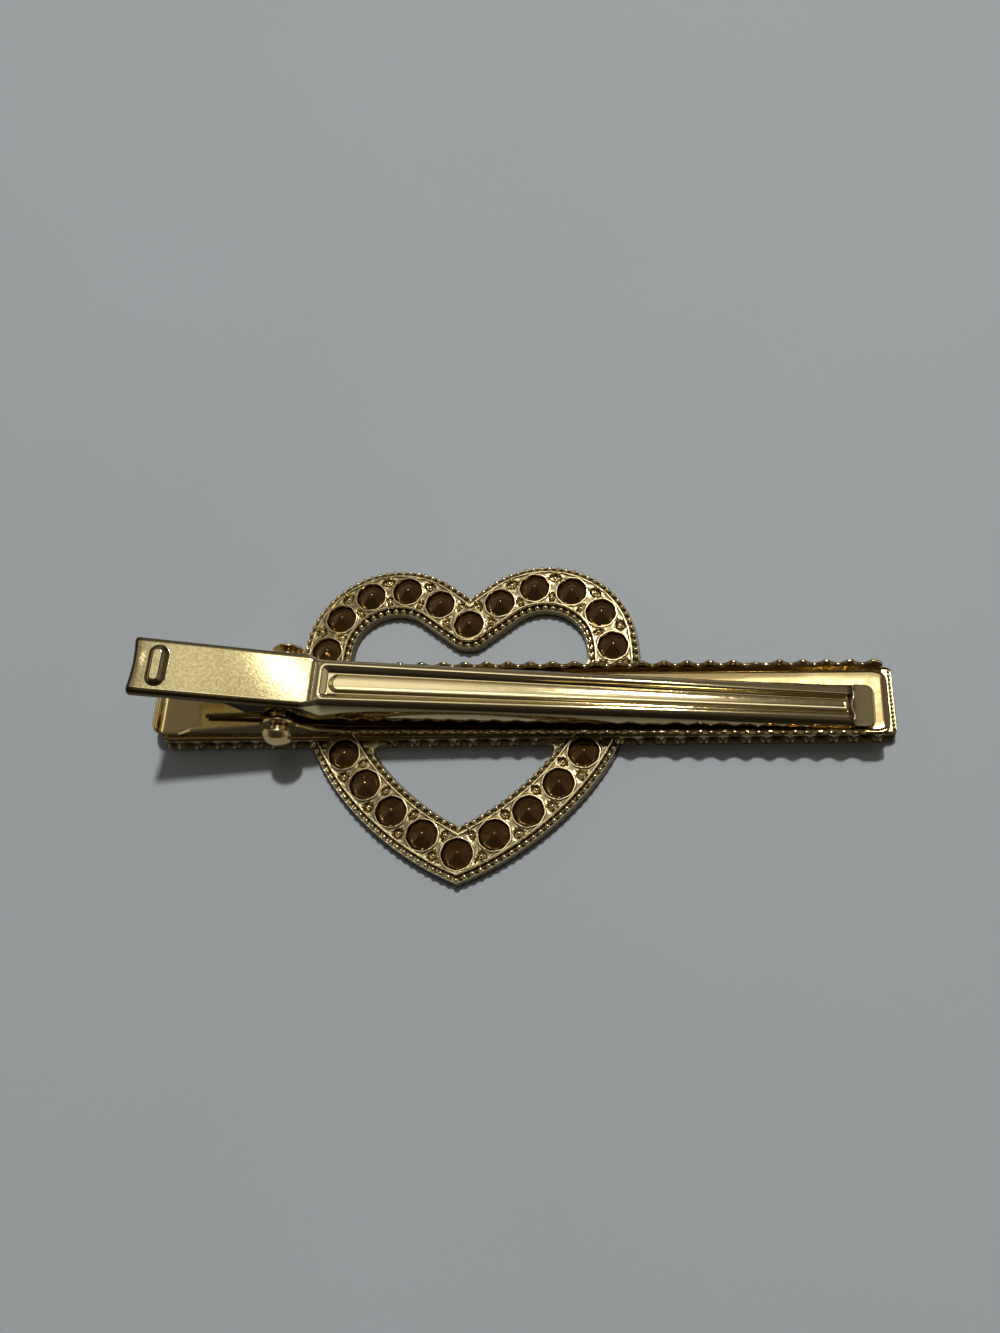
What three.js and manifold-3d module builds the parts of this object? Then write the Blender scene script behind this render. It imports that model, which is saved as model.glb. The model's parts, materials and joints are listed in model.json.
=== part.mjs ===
// A sprung hair clip with a jewelled front: an open heart crossed by a long bar.
// Millimetres, +Z up. The clip lies on its front, with its back and thumb tab upward.
// +X runs along the bar from the tail to the jaw tip, and +Y from the heart's point to its lobes.
// The origin is the middle of the object's outline, on the surface that the front lies on.

import * as THREE from 'three';
import { mergeGeometries, mergeVertices } from 'three/addons/utils/BufferGeometryUtils.js';
import Module from 'manifold-3d';

// Clearances between pieces
const BOND_GAP = 0.1;
const SEAT_GAP = 0.12;
const CULET_GAP = 0.06;
const PIN_CLEARANCE = 0.1;
const HEAD_CLEARANCE = 0.1;
const EAR_GAP = 0.35;
const JAW_GAP = 0.15;
const LEG_GAP = 0.12;
const COIL_PIN_GAP = 0.4;
const COIL_SIDE_GAP = 0.4;

// Fineness of round shapes
const CORNER_STEPS = 4;
const ROUND_STEPS = 16;
const EAR_STEPS = 10;
const CLEFT_STEPS = 3;
const DOME_STEPS = 5;
const NOTCH_STEPS = 5;
const HEART_STEPS = 40;
const WELD_DISTANCE = 1e-5;
const AXIS_MARGIN = 0.05;

// Jewelled front: one casting of a bar and a heart-shaped limb, with a stone in each seat
const FRAME_THICKNESS = 1.6;
const BAR_TAIL_SETBACK = 1.2;
const BAR_TIP_OVERHANG = 1.5;
const BAR_RIM = 0.28;
const BAR_WEB = 0.26;
const BAR_CORNER = 1.5;
const HEART_LENGTH = 25;
const CLEFT_SHARE = 0.376;
const LIMB_RIM = 0.73;
const LOBE_X = 8;
const LOBE_DROP = 3;
const LOBE_INSET = 0.75;
const LOBE_END_DEG = 9.6;
const POINT_SLOPE_DEG = 26.6;
const SIDE_HANDLE_TOP = 10.5;
const SIDE_HANDLE_POINT = 8;

// Stones and their seats
const STONE_RADIUS = 1.65;
const TABLE_RADIUS = 0.95;
const TABLE_DEPTH = 0.12;
const CROWN_HEIGHT = 0.45;
const GIRDLE_HEIGHT = 0.12;
const STONE_SIDES = 8;
const HEART_STONE_COUNT = 24;
const BAR_STONE_PITCH = 4.2;
const BAR_END_MARGIN = 2.9;

// Stock clip: where it sits on the front
const FRONT_TURN_DEG = 0.8;
const HEART_FROM_PIVOT = 18.4;
const FRONT_OFFSET_Y = -0.25;

// Lower arm
const SHEET = 0.5;
const WALL = 0.45;
const TAIL_LENGTH = 15;
const JAW_LENGTH = 59.8;
const LOWER_WIDTH = 7.4;
const LOWER_CORNER = 1.6;
const WALL_HEIGHT = 1.8;
const WALL_START = 13.3;
const WALL_STEP_BACK = 9.8;
const WALL_STEP_HEIGHT = 1.3;
const WALL_END_SETBACK = 1.2;
const EAR_WALL = 0.8;
const EAR_SHOULDER_BACK = 0.5;
const EAR_SHOULDER_FRONT = 1.7;
const TOOTH_PITCH = 2.275;
const TOOTH_TIP = 0.5;
const TOOTH_DEPTH = 0.75;
const TOOTH_START = 7;
const NEAR_TOOTH_SHIFT = -0.5;
const WORN_TOOTH_FAR = 18;
const WORN_TOOTH_NEAR = 14;

// Pivot and upper arm
const PIVOT_HEIGHT = 2.57;
const RIVET_RADIUS = 0.8;
const RIVET_COLLAR_STEP = 0.35;
const RIVET_COLLAR_LENGTH = 0.75;
const RIVET_HEAD_STEP = 0.8;
const RIVET_HEAD_HEIGHT = 1.1;
const UPPER_SKEW_DEG = -0.85;
const TAB_SETBACK = 1.3;
const TAB_RISE = 7.23;
const TAB_FLARE = 0.3;
const TAB_CORNER = 1.3;
const TAB_FLANGE = 0.7;
const CREASE_REACH = 4;
const CREASE_RISE = 2.93;
const CREASE_CORNER = 0.05;
const UPPER_TIP_SETBACK = 0.8;
const UPPER_TIP_TAPER = 1.5;
const UPPER_TIP_CORNER = 1.2;
const UPPER_TIP_THICKNESS = 0.65;
const UPPER_EAR_WALL = 1.1;
const UPPER_EAR_FROM_DEG = -60;
const UPPER_EAR_TO_DEG = -170;
const UPPER_EAR_BACK = 4.5;
const FLANGE_START = 6.5;

// Torsion spring
const WIRE = 0.5;
const COIL_TURNS = 3;
const LEG_LENGTH = 9;
const STEPS_PER_CURL = 8;
const WIRE_SIDES = 5;
const MEASURE_STEPS_PER_CURL = 96;

// Plain colours and roughness
const FRONT_GOLD = 0xcfa968;
const LOWER_GOLD = 0xc9a670;
const UPPER_GOLD = 0xd2b483;
const RIVET_GOLD = 0xc4a878;
const SPRING_STEEL = 0xb9b2a4;
const STONE_COLOR = 0xd8cfc0;
const FRONT_ROUGHNESS = 0.25;
const LOWER_ROUGHNESS = 0.22;
const UPPER_ROUGHNESS = 0.28;
const RIVET_ROUGHNESS = 0.2;
const SPRING_ROUGHNESS = 0.3;
const STONE_ROUGHNESS = 0.1;
const STONE_METALNESS = 0.3;

// Sizes that follow from the ones above
const SEAT_RADIUS = STONE_RADIUS + SEAT_GAP;
const BAR_ROW_OFFSET = SEAT_RADIUS + BAR_WEB / 2;
const BAR_WIDTH = 2 * (BAR_ROW_OFFSET + SEAT_RADIUS + BAR_RIM);
const LIMB_WIDTH = 2 * (SEAT_RADIUS + LIMB_RIM);
const BAR_LENGTH = TAIL_LENGTH - BAR_TAIL_SETBACK + JAW_LENGTH + BAR_TIP_OVERHANG;
const HEART_FROM_BAR_TAIL = HEART_FROM_PIVOT + TAIL_LENGTH - BAR_TAIL_SETBACK;
const CLEFT_Y = HEART_LENGTH * CLEFT_SHARE;
const POINT_Y = CLEFT_Y - HEART_LENGTH;
const LOBE_Y = CLEFT_Y - LOBE_DROP;
const LOBE_RADIUS = LOBE_X - LOBE_INSET;
const PAVILION_HEIGHT = FRAME_THICKNESS - CULET_GAP - TABLE_DEPTH - CROWN_HEIGHT - GIRDLE_HEIGHT;
const TOOTH_SPAN = JAW_LENGTH - WALL_END_SETBACK - TOOTH_START - TOOTH_TIP / 2;
const TOOTH_COUNT = Math.floor(TOOTH_SPAN / TOOTH_PITCH) + 1;
const HINGE_HOLE = RIVET_RADIUS + PIN_CLEARANCE;
const EAR_RADIUS = HINGE_HOLE + EAR_WALL;
const UPPER_EAR_RADIUS = HINGE_HOLE + UPPER_EAR_WALL;
const CREASE_WIDTH = LOWER_WIDTH - 2 * (WALL + EAR_GAP);
const TAB_WIDTH = CREASE_WIDTH + TAB_FLARE;
const UPPER_TIP_WIDTH = CREASE_WIDTH - UPPER_TIP_TAPER;
const TAB_REACH = TAIL_LENGTH - TAB_SETBACK;
const UPPER_REACH = JAW_LENGTH - UPPER_TIP_SETBACK;
const COIL_RADIUS = RIVET_RADIUS + COIL_PIN_GAP + WIRE / 2;
const COIL_SPAN = CREASE_WIDTH - 2 * (SHEET + COIL_SIDE_GAP) - WIRE;
const FLOOR_BOTTOM = FRAME_THICKNESS + BOND_GAP;
const FLOOR_TOP = FLOOR_BOTTOM + SHEET;
const PIVOT_Z = FLOOR_TOP + PIVOT_HEIGHT;
const WALL_TOP = FLOOR_TOP + WALL_HEIGHT;
const FLANGE_BOTTOM = FLOOR_TOP + JAW_GAP;
const LEDGE_Z = TABLE_DEPTH + CROWN_HEIGHT + GIRDLE_HEIGHT + SEAT_GAP;
const TALL = 4 * (PIVOT_Z + TAB_RISE);

const wasm = await Module();
wasm.setup();

const radians = THREE.MathUtils.degToRad;

// Turns a closed geometry into a solid that can be joined and cut.
function solidOf(geometry) {
  const bare = geometry.index ? geometry.toNonIndexed() : geometry.clone();
  bare.deleteAttribute('normal');
  bare.deleteAttribute('uv');
  const welded = mergeVertices(bare, WELD_DISTANCE);
  const vertProperties = new Float32Array(welded.attributes.position.array);
  const triVerts = new Uint32Array(welded.index.array);
  return new wasm.Manifold(new wasm.Mesh({ numProp: 3, vertProperties, triVerts }));
}

// Turns a solid back into a geometry with flat shading.
function geometryOf(solid) {
  const mesh = solid.getMesh();
  const geometry = new THREE.BufferGeometry();
  geometry.setAttribute('position', new THREE.BufferAttribute(new Float32Array(mesh.vertProperties), 3));
  geometry.setIndex(new THREE.BufferAttribute(new Uint32Array(mesh.triVerts), 1));
  const flat = geometry.toNonIndexed();
  flat.computeVertexNormals();
  return flat;
}

// A plan outline in X and Y, drawn up from one height to another.
function planSlab(shape, zLow, zHigh) {
  const options = { depth: zHigh - zLow, bevelEnabled: false, curveSegments: CORNER_STEPS };
  const geometry = new THREE.ExtrudeGeometry(shape, options);
  geometry.translate(0, 0, zLow);
  return geometry;
}

// A side outline in X and Z, drawn across from one Y to another.
function sideSlab(points, yLow, yHigh) {
  const options = { depth: yHigh - yLow, bevelEnabled: false };
  const geometry = new THREE.ExtrudeGeometry(new THREE.Shape(points), options);
  geometry.rotateX(Math.PI / 2);
  geometry.translate(0, yHigh, 0);
  return geometry;
}

function point(x, y) {
  return new THREE.Vector2(x, y);
}

// A closed outline with each corner rounded by its own radius.
function roundedOutline(corners, radii) {
  const shape = new THREE.Shape();
  corners.forEach((corner, i) => {
    const before = corners[(i + corners.length - 1) % corners.length];
    const after = corners[(i + 1) % corners.length];
    const enter = corner.clone().add(before.clone().sub(corner).setLength(radii[i]));
    const leave = corner.clone().add(after.clone().sub(corner).setLength(radii[i]));
    if (i === 0) shape.moveTo(enter.x, enter.y);
    else shape.lineTo(enter.x, enter.y);
    shape.quadraticCurveTo(corner.x, corner.y, leave.x, leave.y);
  });
  shape.closePath();
  return shape;
}

// Points of a circle's arc, both ends included.
function arcPoints(cx, cy, radius, fromDeg, toDeg, steps) {
  const points = [];
  for (let i = 0; i <= steps; i += 1) {
    const angle = radians(fromDeg + ((toDeg - fromDeg) * i) / steps);
    points.push(point(cx + radius * Math.cos(angle), cy + radius * Math.sin(angle)));
  }
  return points;
}

// Right half of the limb's middle line: a straight from the cleft, the lobe's arc and a curve to the point.
function heartHalf() {
  const toLobe = Math.hypot(LOBE_X, CLEFT_Y - LOBE_Y);
  const straight = Math.sqrt(toLobe ** 2 - LOBE_RADIUS ** 2);
  const bearing = Math.atan2(LOBE_Y - CLEFT_Y, LOBE_X) + Math.asin(LOBE_RADIUS / toLobe);
  const touch = point(straight * Math.cos(bearing), CLEFT_Y + straight * Math.sin(bearing));
  const touchAngle = Math.atan2(touch.y - LOBE_Y, touch.x - LOBE_X);
  const endAngle = radians(LOBE_END_DEG);
  const outward = point(Math.cos(endAngle), Math.sin(endAngle));
  const lobeEnd = point(LOBE_X, LOBE_Y).addScaledVector(outward, LOBE_RADIUS);
  const along = point(Math.sin(endAngle), -Math.cos(endAngle)).multiplyScalar(SIDE_HANDLE_TOP);
  const slope = radians(POINT_SLOPE_DEG);
  const tip = point(0, POINT_Y);
  const back = point(Math.cos(slope), Math.sin(slope)).multiplyScalar(SIDE_HANDLE_POINT);
  const path = new THREE.Path();
  path.moveTo(0, CLEFT_Y);
  path.lineTo(touch.x, touch.y);
  path.absarc(LOBE_X, LOBE_Y, LOBE_RADIUS, touchAngle, endAngle, true);
  const handle = lobeEnd.clone().add(along);
  path.bezierCurveTo(handle.x, handle.y, back.x + tip.x, back.y + tip.y, tip.x, tip.y);
  return path;
}

// The limb's inner edge turns round the cleft's middle point from the axis to where its straight begins.
function cleftRound(radius, straightStart) {
  const endDeg = THREE.MathUtils.radToDeg(Math.atan2(straightStart.y - CLEFT_Y, straightStart.x));
  return arcPoints(0, CLEFT_Y, radius, -90, endDeg, CLEFT_STEPS).slice(0, -1);
}

// One edge of the heart's limb, a given distance outside its middle line, as a closed outline
// that runs anticlockwise.
function heartOutline(offset) {
  const path = heartHalf();
  const side = [];
  for (let i = 0; i <= HEART_STEPS; i += 1) {
    const t = i / HEART_STEPS;
    const at = path.getPointAt(t);
    const along = path.getTangentAt(t);
    side.push(point(at.x - along.y * offset, at.y + along.x * offset));
  }
  const kept = side.filter((p) => p.x > AXIS_MARGIN);
  const onAxis = (a, b) => point(0, a.y - (a.x * (b.y - a.y)) / (b.x - a.x));
  const cleft = offset > 0 ? [onAxis(kept[0], kept[1])] : cleftRound(-offset, side[0]);
  const half = [...cleft, ...kept, onAxis(kept[kept.length - 1], kept[kept.length - 2])];
  const mirrored = half.slice(1, -1).reverse().map((p) => point(-p.x, p.y));
  return [...half, ...mirrored].reverse();
}

// Where the heart's stones sit, evenly round the limb's middle line, leaving out those that the bar crosses.
function heartStonePlaces() {
  const path = heartHalf();
  const perHalf = HEART_STONE_COUNT / 2;
  const places = [];
  for (let i = 0; i < HEART_STONE_COUNT; i += 1) {
    const mirrored = i > perHalf;
    const at = path.getPointAt((mirrored ? HEART_STONE_COUNT - i : i) / perHalf);
    if (Math.abs(at.y) > BAR_WIDTH / 2) places.push(point(mirrored ? -at.x : at.x, at.y));
  }
  return places;
}

// Where the bar's stones sit, in two rows spaced evenly to both sides of the heart's middle,
// leaving out those whose seats would cut into a seat of the heart.
function barStonePlaces(heartPlaces) {
  const low = -HEART_FROM_BAR_TAIL + BAR_END_MARGIN;
  const high = BAR_LENGTH - HEART_FROM_BAR_TAIL - BAR_END_MARGIN;
  const first = Math.ceil(low / BAR_STONE_PITCH - 0.5);
  const last = Math.floor(high / BAR_STONE_PITCH - 0.5);
  const places = [];
  for (const row of [-1, 1]) {
    for (let i = first; i <= last; i += 1) {
      const place = point((i + 0.5) * BAR_STONE_PITCH, row * BAR_ROW_OFFSET);
      if (heartPlaces.every((other) => other.distanceTo(place) > 2 * SEAT_RADIUS)) places.push(place);
    }
  }
  return places;
}

// A stone's outline on its axis: flat table, crown, girdle and pointed back.
function stoneGeometry() {
  const girdleLow = TABLE_DEPTH + CROWN_HEIGHT;
  const girdleHigh = girdleLow + GIRDLE_HEIGHT;
  const profile = [
    point(0, TABLE_DEPTH),
    point(TABLE_RADIUS, TABLE_DEPTH),
    point(STONE_RADIUS, girdleLow),
    point(STONE_RADIUS, girdleHigh),
    point(0, girdleHigh + PAVILION_HEIGHT),
  ];
  return new THREE.LatheGeometry(profile, STONE_SIDES).rotateX(Math.PI / 2);
}

// A stepped hole for one stone: wide from the front to the ledge, narrower through the back.
function seatCutter(place) {
  const narrow = STONE_RADIUS * (1 - SEAT_GAP / PAVILION_HEIGHT) + SEAT_GAP;
  const profile = [
    point(0, -FRAME_THICKNESS),
    point(SEAT_RADIUS, -FRAME_THICKNESS),
    point(SEAT_RADIUS, LEDGE_Z),
    point(narrow, LEDGE_Z),
    point(narrow, 2 * FRAME_THICKNESS),
    point(0, 2 * FRAME_THICKNESS),
  ];
  return new THREE.LatheGeometry(profile, STONE_SIDES).rotateX(Math.PI / 2).translate(place.x, place.y, 0);
}

// The casting: heart limb and bar in one, with a stepped seat for every stone.
function frontFrameGeometry(places) {
  const heart = new THREE.Shape(heartOutline(LIMB_WIDTH / 2));
  heart.holes.push(new THREE.Path(heartOutline(-LIMB_WIDTH / 2)));
  const left = -HEART_FROM_BAR_TAIL;
  const right = left + BAR_LENGTH;
  const half = BAR_WIDTH / 2;
  const corners = [point(left, -half), point(right, -half), point(right, half), point(left, half)];
  const bar = roundedOutline(corners, corners.map(() => BAR_CORNER));
  const plate = solidOf(planSlab(heart, 0, FRAME_THICKNESS)).add(solidOf(planSlab(bar, 0, FRAME_THICKNESS)));
  const seats = mergeGeometries(places.map(seatCutter));
  return geometryOf(plate.subtract(solidOf(seats)));
}

// Top edge of a lower side wall from the tail to the tip, with the ear and the teeth.
function wallOutline(toothShift, wornTooth) {
  const points = [
    point(-WALL_START, FLOOR_BOTTOM),
    point(-WALL_START, FLOOR_TOP),
    point(-WALL_STEP_BACK, FLOOR_TOP + WALL_STEP_HEIGHT),
    point(-EAR_RADIUS - EAR_SHOULDER_BACK, PIVOT_Z),
    ...arcPoints(0, PIVOT_Z, EAR_RADIUS, 180, 0, EAR_STEPS),
    point(EAR_RADIUS + EAR_SHOULDER_FRONT, WALL_TOP),
  ];
  const first = TOOTH_START + TOOTH_PITCH * toothShift;
  for (let k = 0; k < TOOTH_COUNT; k += 1) {
    const tip = first + TOOTH_PITCH * k;
    const worn = k === wornTooth;
    const tipZ = worn ? WALL_TOP - TOOTH_DEPTH : WALL_TOP;
    points.push(point(tip - TOOTH_TIP / 2, tipZ), point(tip + TOOTH_TIP / 2, tipZ));
    if (k === TOOTH_COUNT - 1) break;
    const nextWorn = k + 1 === wornTooth;
    points.push(...notchPoints(tip + TOOTH_TIP / 2, tip + TOOTH_PITCH - TOOTH_TIP / 2, worn, nextWorn));
  }
  const end = JAW_LENGTH - WALL_END_SETBACK;
  points.push(point(end, WALL_TOP), point(end, FLOOR_BOTTOM));
  return points;
}

// Inner points of the round notch between two teeth; beside a worn tooth the notch stays low.
function notchPoints(xLow, xHigh, lowBefore, lowAfter) {
  const points = [];
  for (let i = 1; i < NOTCH_STEPS; i += 1) {
    const t = i / NOTCH_STEPS;
    const flat = (lowBefore && t < 0.5) || (lowAfter && t > 0.5);
    const drop = flat ? TOOTH_DEPTH : TOOTH_DEPTH * Math.sin(Math.PI * t);
    points.push(point(xLow + (xHigh - xLow) * t, WALL_TOP - drop));
  }
  return points;
}

// A round cutter along Y through the pivot, for the rivet's hole in both arms.
function pivotCutter() {
  const cutter = new THREE.CylinderGeometry(HINGE_HOLE, HINGE_HOLE, 4 * LOWER_WIDTH, ROUND_STEPS);
  return solidOf(cutter.translate(0, 0, PIVOT_Z));
}

// The lower arm: flat floor and tail tab with two toothed side walls that carry the rivet's ears.
function lowerArmGeometry() {
  const half = LOWER_WIDTH / 2;
  const corners = [
    point(-TAIL_LENGTH, -half),
    point(JAW_LENGTH, -half),
    point(JAW_LENGTH, half),
    point(-TAIL_LENGTH, half),
  ];
  const plan = roundedOutline(corners, corners.map(() => LOWER_CORNER));
  const floor = solidOf(planSlab(plan, FLOOR_BOTTOM, FLOOR_TOP));
  const far = solidOf(sideSlab(wallOutline(0, WORN_TOOTH_FAR), half - WALL, half));
  const near = solidOf(sideSlab(wallOutline(NEAR_TOOTH_SHIFT, WORN_TOOTH_NEAR), -half, WALL - half));
  const column = solidOf(planSlab(plan, 0, TALL));
  const body = floor.add(far.intersect(column)).add(near.intersect(column));
  return geometryOf(body.subtract(pivotCutter()));
}

// Height of the upper arm's top face at a place along it.
function upperTop(x) {
  const creaseZ = PIVOT_Z + CREASE_RISE;
  const tipZ = FLANGE_BOTTOM + UPPER_TIP_THICKNESS;
  if (x < CREASE_REACH) {
    return creaseZ + ((TAB_RISE - CREASE_RISE) * (CREASE_REACH - x)) / (CREASE_REACH + TAB_REACH);
  }
  return creaseZ + ((tipZ - creaseZ) * (x - CREASE_REACH)) / (UPPER_REACH - CREASE_REACH);
}

// The upper arm's plan outline, drawn in on both sides by an inset and run on past both ends.
function upperPlan(inset, overrun) {
  const tab = TAB_WIDTH / 2 - inset;
  const crease = CREASE_WIDTH / 2 - inset;
  const tip = UPPER_TIP_WIDTH / 2 - inset;
  const back = -TAB_REACH - overrun;
  const front = UPPER_REACH + overrun;
  const corners = [
    point(back, -tab),
    point(CREASE_REACH, -crease),
    point(front, -tip),
    point(front, tip),
    point(CREASE_REACH, crease),
    point(back, tab),
  ];
  const nearSide = [TAB_CORNER, CREASE_CORNER, UPPER_TIP_CORNER];
  return roundedOutline(corners, [...nearSide, ...nearSide.toReversed()]);
}

// The upper arm: thumb tab, ears and ribbed jaw as one inverted channel.
function upperArmGeometry() {
  const outer = [
    point(-TAB_REACH, upperTop(-TAB_REACH)),
    point(CREASE_REACH, upperTop(CREASE_REACH)),
    point(UPPER_REACH, upperTop(UPPER_REACH)),
    point(UPPER_REACH, FLANGE_BOTTOM),
    point(FLANGE_START, FLANGE_BOTTOM),
    ...arcPoints(0, PIVOT_Z, UPPER_EAR_RADIUS, UPPER_EAR_FROM_DEG, UPPER_EAR_TO_DEG, EAR_STEPS),
    point(-UPPER_EAR_BACK, upperTop(-UPPER_EAR_BACK) - SHEET - TAB_FLANGE),
    point(-TAB_REACH, upperTop(-TAB_REACH) - SHEET - TAB_FLANGE),
  ].reverse();
  const margin = LOWER_WIDTH;
  const under = [
    point(-TAB_REACH - margin, upperTop(-TAB_REACH - margin) - SHEET),
    point(-TAB_REACH - margin, -TALL),
    point(UPPER_REACH + margin, -TALL),
    point(UPPER_REACH + margin, upperTop(UPPER_REACH + margin) - SHEET),
    point(CREASE_REACH, upperTop(CREASE_REACH) - SHEET),
  ];
  const blockPlan = solidOf(planSlab(upperPlan(0, 0), -TALL, TALL));
  const block = blockPlan.intersect(solidOf(sideSlab(outer, -margin, margin)));
  const hollowPlan = solidOf(planSlab(upperPlan(SHEET, 2 * margin), -2 * TALL, TALL));
  const hollow = hollowPlan.intersect(solidOf(sideSlab(under, -margin, margin)));
  return geometryOf(block.subtract(hollow).subtract(pivotCutter()));
}

// The rivet: a shank across both pairs of ears, with a collar and a dome on each end.
function rivetGeometry() {
  const collar = LOWER_WIDTH / 2 + HEAD_CLEARANCE;
  const head = collar + RIVET_COLLAR_LENGTH;
  const collarRadius = RIVET_RADIUS + RIVET_COLLAR_STEP;
  const headRadius = RIVET_RADIUS + RIVET_HEAD_STEP;
  const dome = [];
  for (let i = 0; i < DOME_STEPS; i += 1) {
    const angle = (Math.PI / 2) * (i / DOME_STEPS);
    dome.push(point(headRadius * Math.cos(angle), head + RIVET_HEAD_HEIGHT * Math.sin(angle)));
  }
  const upperHalf = [
    point(RIVET_RADIUS, collar),
    point(collarRadius, collar),
    point(collarRadius, head),
    ...dome,
    point(0, head + RIVET_HEAD_HEIGHT),
  ];
  const lowerHalf = upperHalf.map((p) => point(p.x, -p.y)).reverse();
  return new THREE.LatheGeometry([...lowerHalf, ...upperHalf], ROUND_STEPS).translate(0, 0, PIVOT_Z);
}

// Middle line of the spring's wire: lower leg, coil round the rivet, upper leg.
function springPath(stepsPerCurl) {
  const legReach = WIRE / 2 + LEG_GAP + COIL_RADIUS;
  const tabSlope = Math.atan2(TAB_RISE - CREASE_RISE, TAB_REACH + CREASE_REACH);
  const tabDistance = (upperTop(0) - SHEET - PIVOT_Z) * Math.cos(tabSlope);
  const rise = tabSlope + Math.asin((tabDistance - legReach) / LEG_LENGTH);
  const fall = Math.asin((PIVOT_HEIGHT - legReach) / LEG_LENGTH);
  const start = fall - Math.PI / 2;
  const end = Math.PI / 2 - rise + 2 * Math.PI * COIL_TURNS;
  const steps = Math.round(((end - start) / (2 * Math.PI)) * stepsPerCurl);
  const points = [];
  for (let i = 0; i <= steps; i += 1) {
    const angle = start + ((end - start) * i) / steps;
    const y = COIL_SPAN * (i / steps - 0.5);
    const z = PIVOT_Z + COIL_RADIUS * Math.sin(angle);
    points.push(new THREE.Vector3(COIL_RADIUS * Math.cos(angle), y, z));
  }
  const lower = new THREE.Vector3(-Math.cos(fall), 0, -Math.sin(fall)).multiplyScalar(LEG_LENGTH);
  const upper = new THREE.Vector3(-Math.cos(rise), 0, Math.sin(rise)).multiplyScalar(LEG_LENGTH);
  points.unshift(points[0].clone().add(lower));
  points.push(points[points.length - 1].clone().add(upper));
  return points;
}

// Least gap between one curl's wire and the next, on closely spaced points of the coil.
function springSelfGap() {
  const coil = springPath(MEASURE_STEPS_PER_CURL).slice(1, -1);
  const apart = MEASURE_STEPS_PER_CURL / 2;
  let least = Infinity;
  for (let i = 0; i < coil.length; i += 1) {
    for (let j = i + apart; j < coil.length; j += 1) least = Math.min(least, coil[i].distanceTo(coil[j]));
  }
  return least - WIRE;
}

// The spring's wire as one closed tube; its rings stand square to the path and never along Y.
function springGeometry() {
  const path = springPath(STEPS_PER_CURL);
  const across = new THREE.Vector3(0, 1, 0);
  const positions = [];
  const index = [];
  path.forEach((at, i) => {
    const before = path[Math.max(i - 1, 0)];
    const after = path[Math.min(i + 1, path.length - 1)];
    const along = after.clone().sub(before).normalize();
    const side = across.clone().addScaledVector(along, -along.y).normalize();
    const up = along.clone().cross(side);
    for (let k = 0; k < WIRE_SIDES; k += 1) {
      const angle = (2 * Math.PI * k) / WIRE_SIDES;
      const spot = at.clone();
      spot.addScaledVector(side, (WIRE / 2) * Math.cos(angle));
      spot.addScaledVector(up, (WIRE / 2) * Math.sin(angle));
      positions.push(spot.x, spot.y, spot.z);
    }
  });
  for (let i = 0; i < path.length - 1; i += 1) {
    for (let k = 0; k < WIRE_SIDES; k += 1) {
      const a = i * WIRE_SIDES + k;
      const b = i * WIRE_SIDES + ((k + 1) % WIRE_SIDES);
      index.push(a, b, a + WIRE_SIDES, b, b + WIRE_SIDES, a + WIRE_SIDES);
    }
  }
  const lastRing = (path.length - 1) * WIRE_SIDES;
  for (let k = 1; k < WIRE_SIDES - 1; k += 1) {
    index.push(0, k + 1, k);
    index.push(lastRing, lastRing + k, lastRing + k + 1);
  }
  const geometry = new THREE.BufferGeometry();
  geometry.setAttribute('position', new THREE.Float32BufferAttribute(positions, 3));
  geometry.setIndex(index);
  geometry.computeVertexNormals();
  return geometry;
}

function metal(color, roughness) {
  return new THREE.MeshStandardMaterial({ color, roughness, metalness: 1 });
}

function named(name, geometry, material) {
  const mesh = new THREE.Mesh(geometry, material);
  mesh.name = name;
  return mesh;
}

// The jewelled front with its stones, turned a little under the clip as it was bonded.
function buildFront() {
  const front = new THREE.Group();
  const heartPlaces = heartStonePlaces();
  const barPlaces = barStonePlaces(heartPlaces);
  const casting = frontFrameGeometry([...heartPlaces, ...barPlaces]);
  front.add(named('front_frame', casting, metal(FRONT_GOLD, FRONT_ROUGHNESS)));
  const stoneLook = { color: STONE_COLOR, roughness: STONE_ROUGHNESS, metalness: STONE_METALNESS };
  const addStones = (prefix, places) => places.forEach((place, i) => {
    const material = new THREE.MeshStandardMaterial(stoneLook);
    const stone = named(`${prefix}_${String(i + 1).padStart(2, '0')}`, stoneGeometry(), material);
    stone.position.set(place.x, place.y, 0);
    front.add(stone);
  });
  addStones('heart_stone', heartPlaces);
  addStones('bar_stone', barPlaces);
  front.position.set(HEART_FROM_PIVOT, FRONT_OFFSET_Y, 0);
  front.rotation.z = radians(FRONT_TURN_DEG);
  return front;
}

// The stock clip: lower arm, rivet and spring, with the upper arm a little askew on the rivet.
function buildClip() {
  const clip = new THREE.Group();
  clip.add(named('lower_arm', lowerArmGeometry(), metal(LOWER_GOLD, LOWER_ROUGHNESS)));
  clip.add(named('pivot_rivet', rivetGeometry(), metal(RIVET_GOLD, RIVET_ROUGHNESS)));
  clip.add(named('torsion_spring', springGeometry(), metal(SPRING_STEEL, SPRING_ROUGHNESS)));
  const upper = named('upper_arm', upperArmGeometry(), metal(UPPER_GOLD, UPPER_ROUGHNESS));
  upper.rotation.z = radians(UPPER_SKEW_DEG);
  clip.add(upper);
  return clip;
}

console.log(`spring least gap to itself: ${springSelfGap().toFixed(3)} mm`);

const hairClip = new THREE.Group();
const assembly = new THREE.Group();
assembly.add(buildFront(), buildClip());
hairClip.add(assembly);
hairClip.updateMatrixWorld(true);
const outline = new THREE.Box3().setFromObject(hairClip, true);
const middle = outline.getCenter(new THREE.Vector3());
assembly.position.set(-middle.x, -middle.y, -outline.min.z);

export default hairClip;
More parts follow.
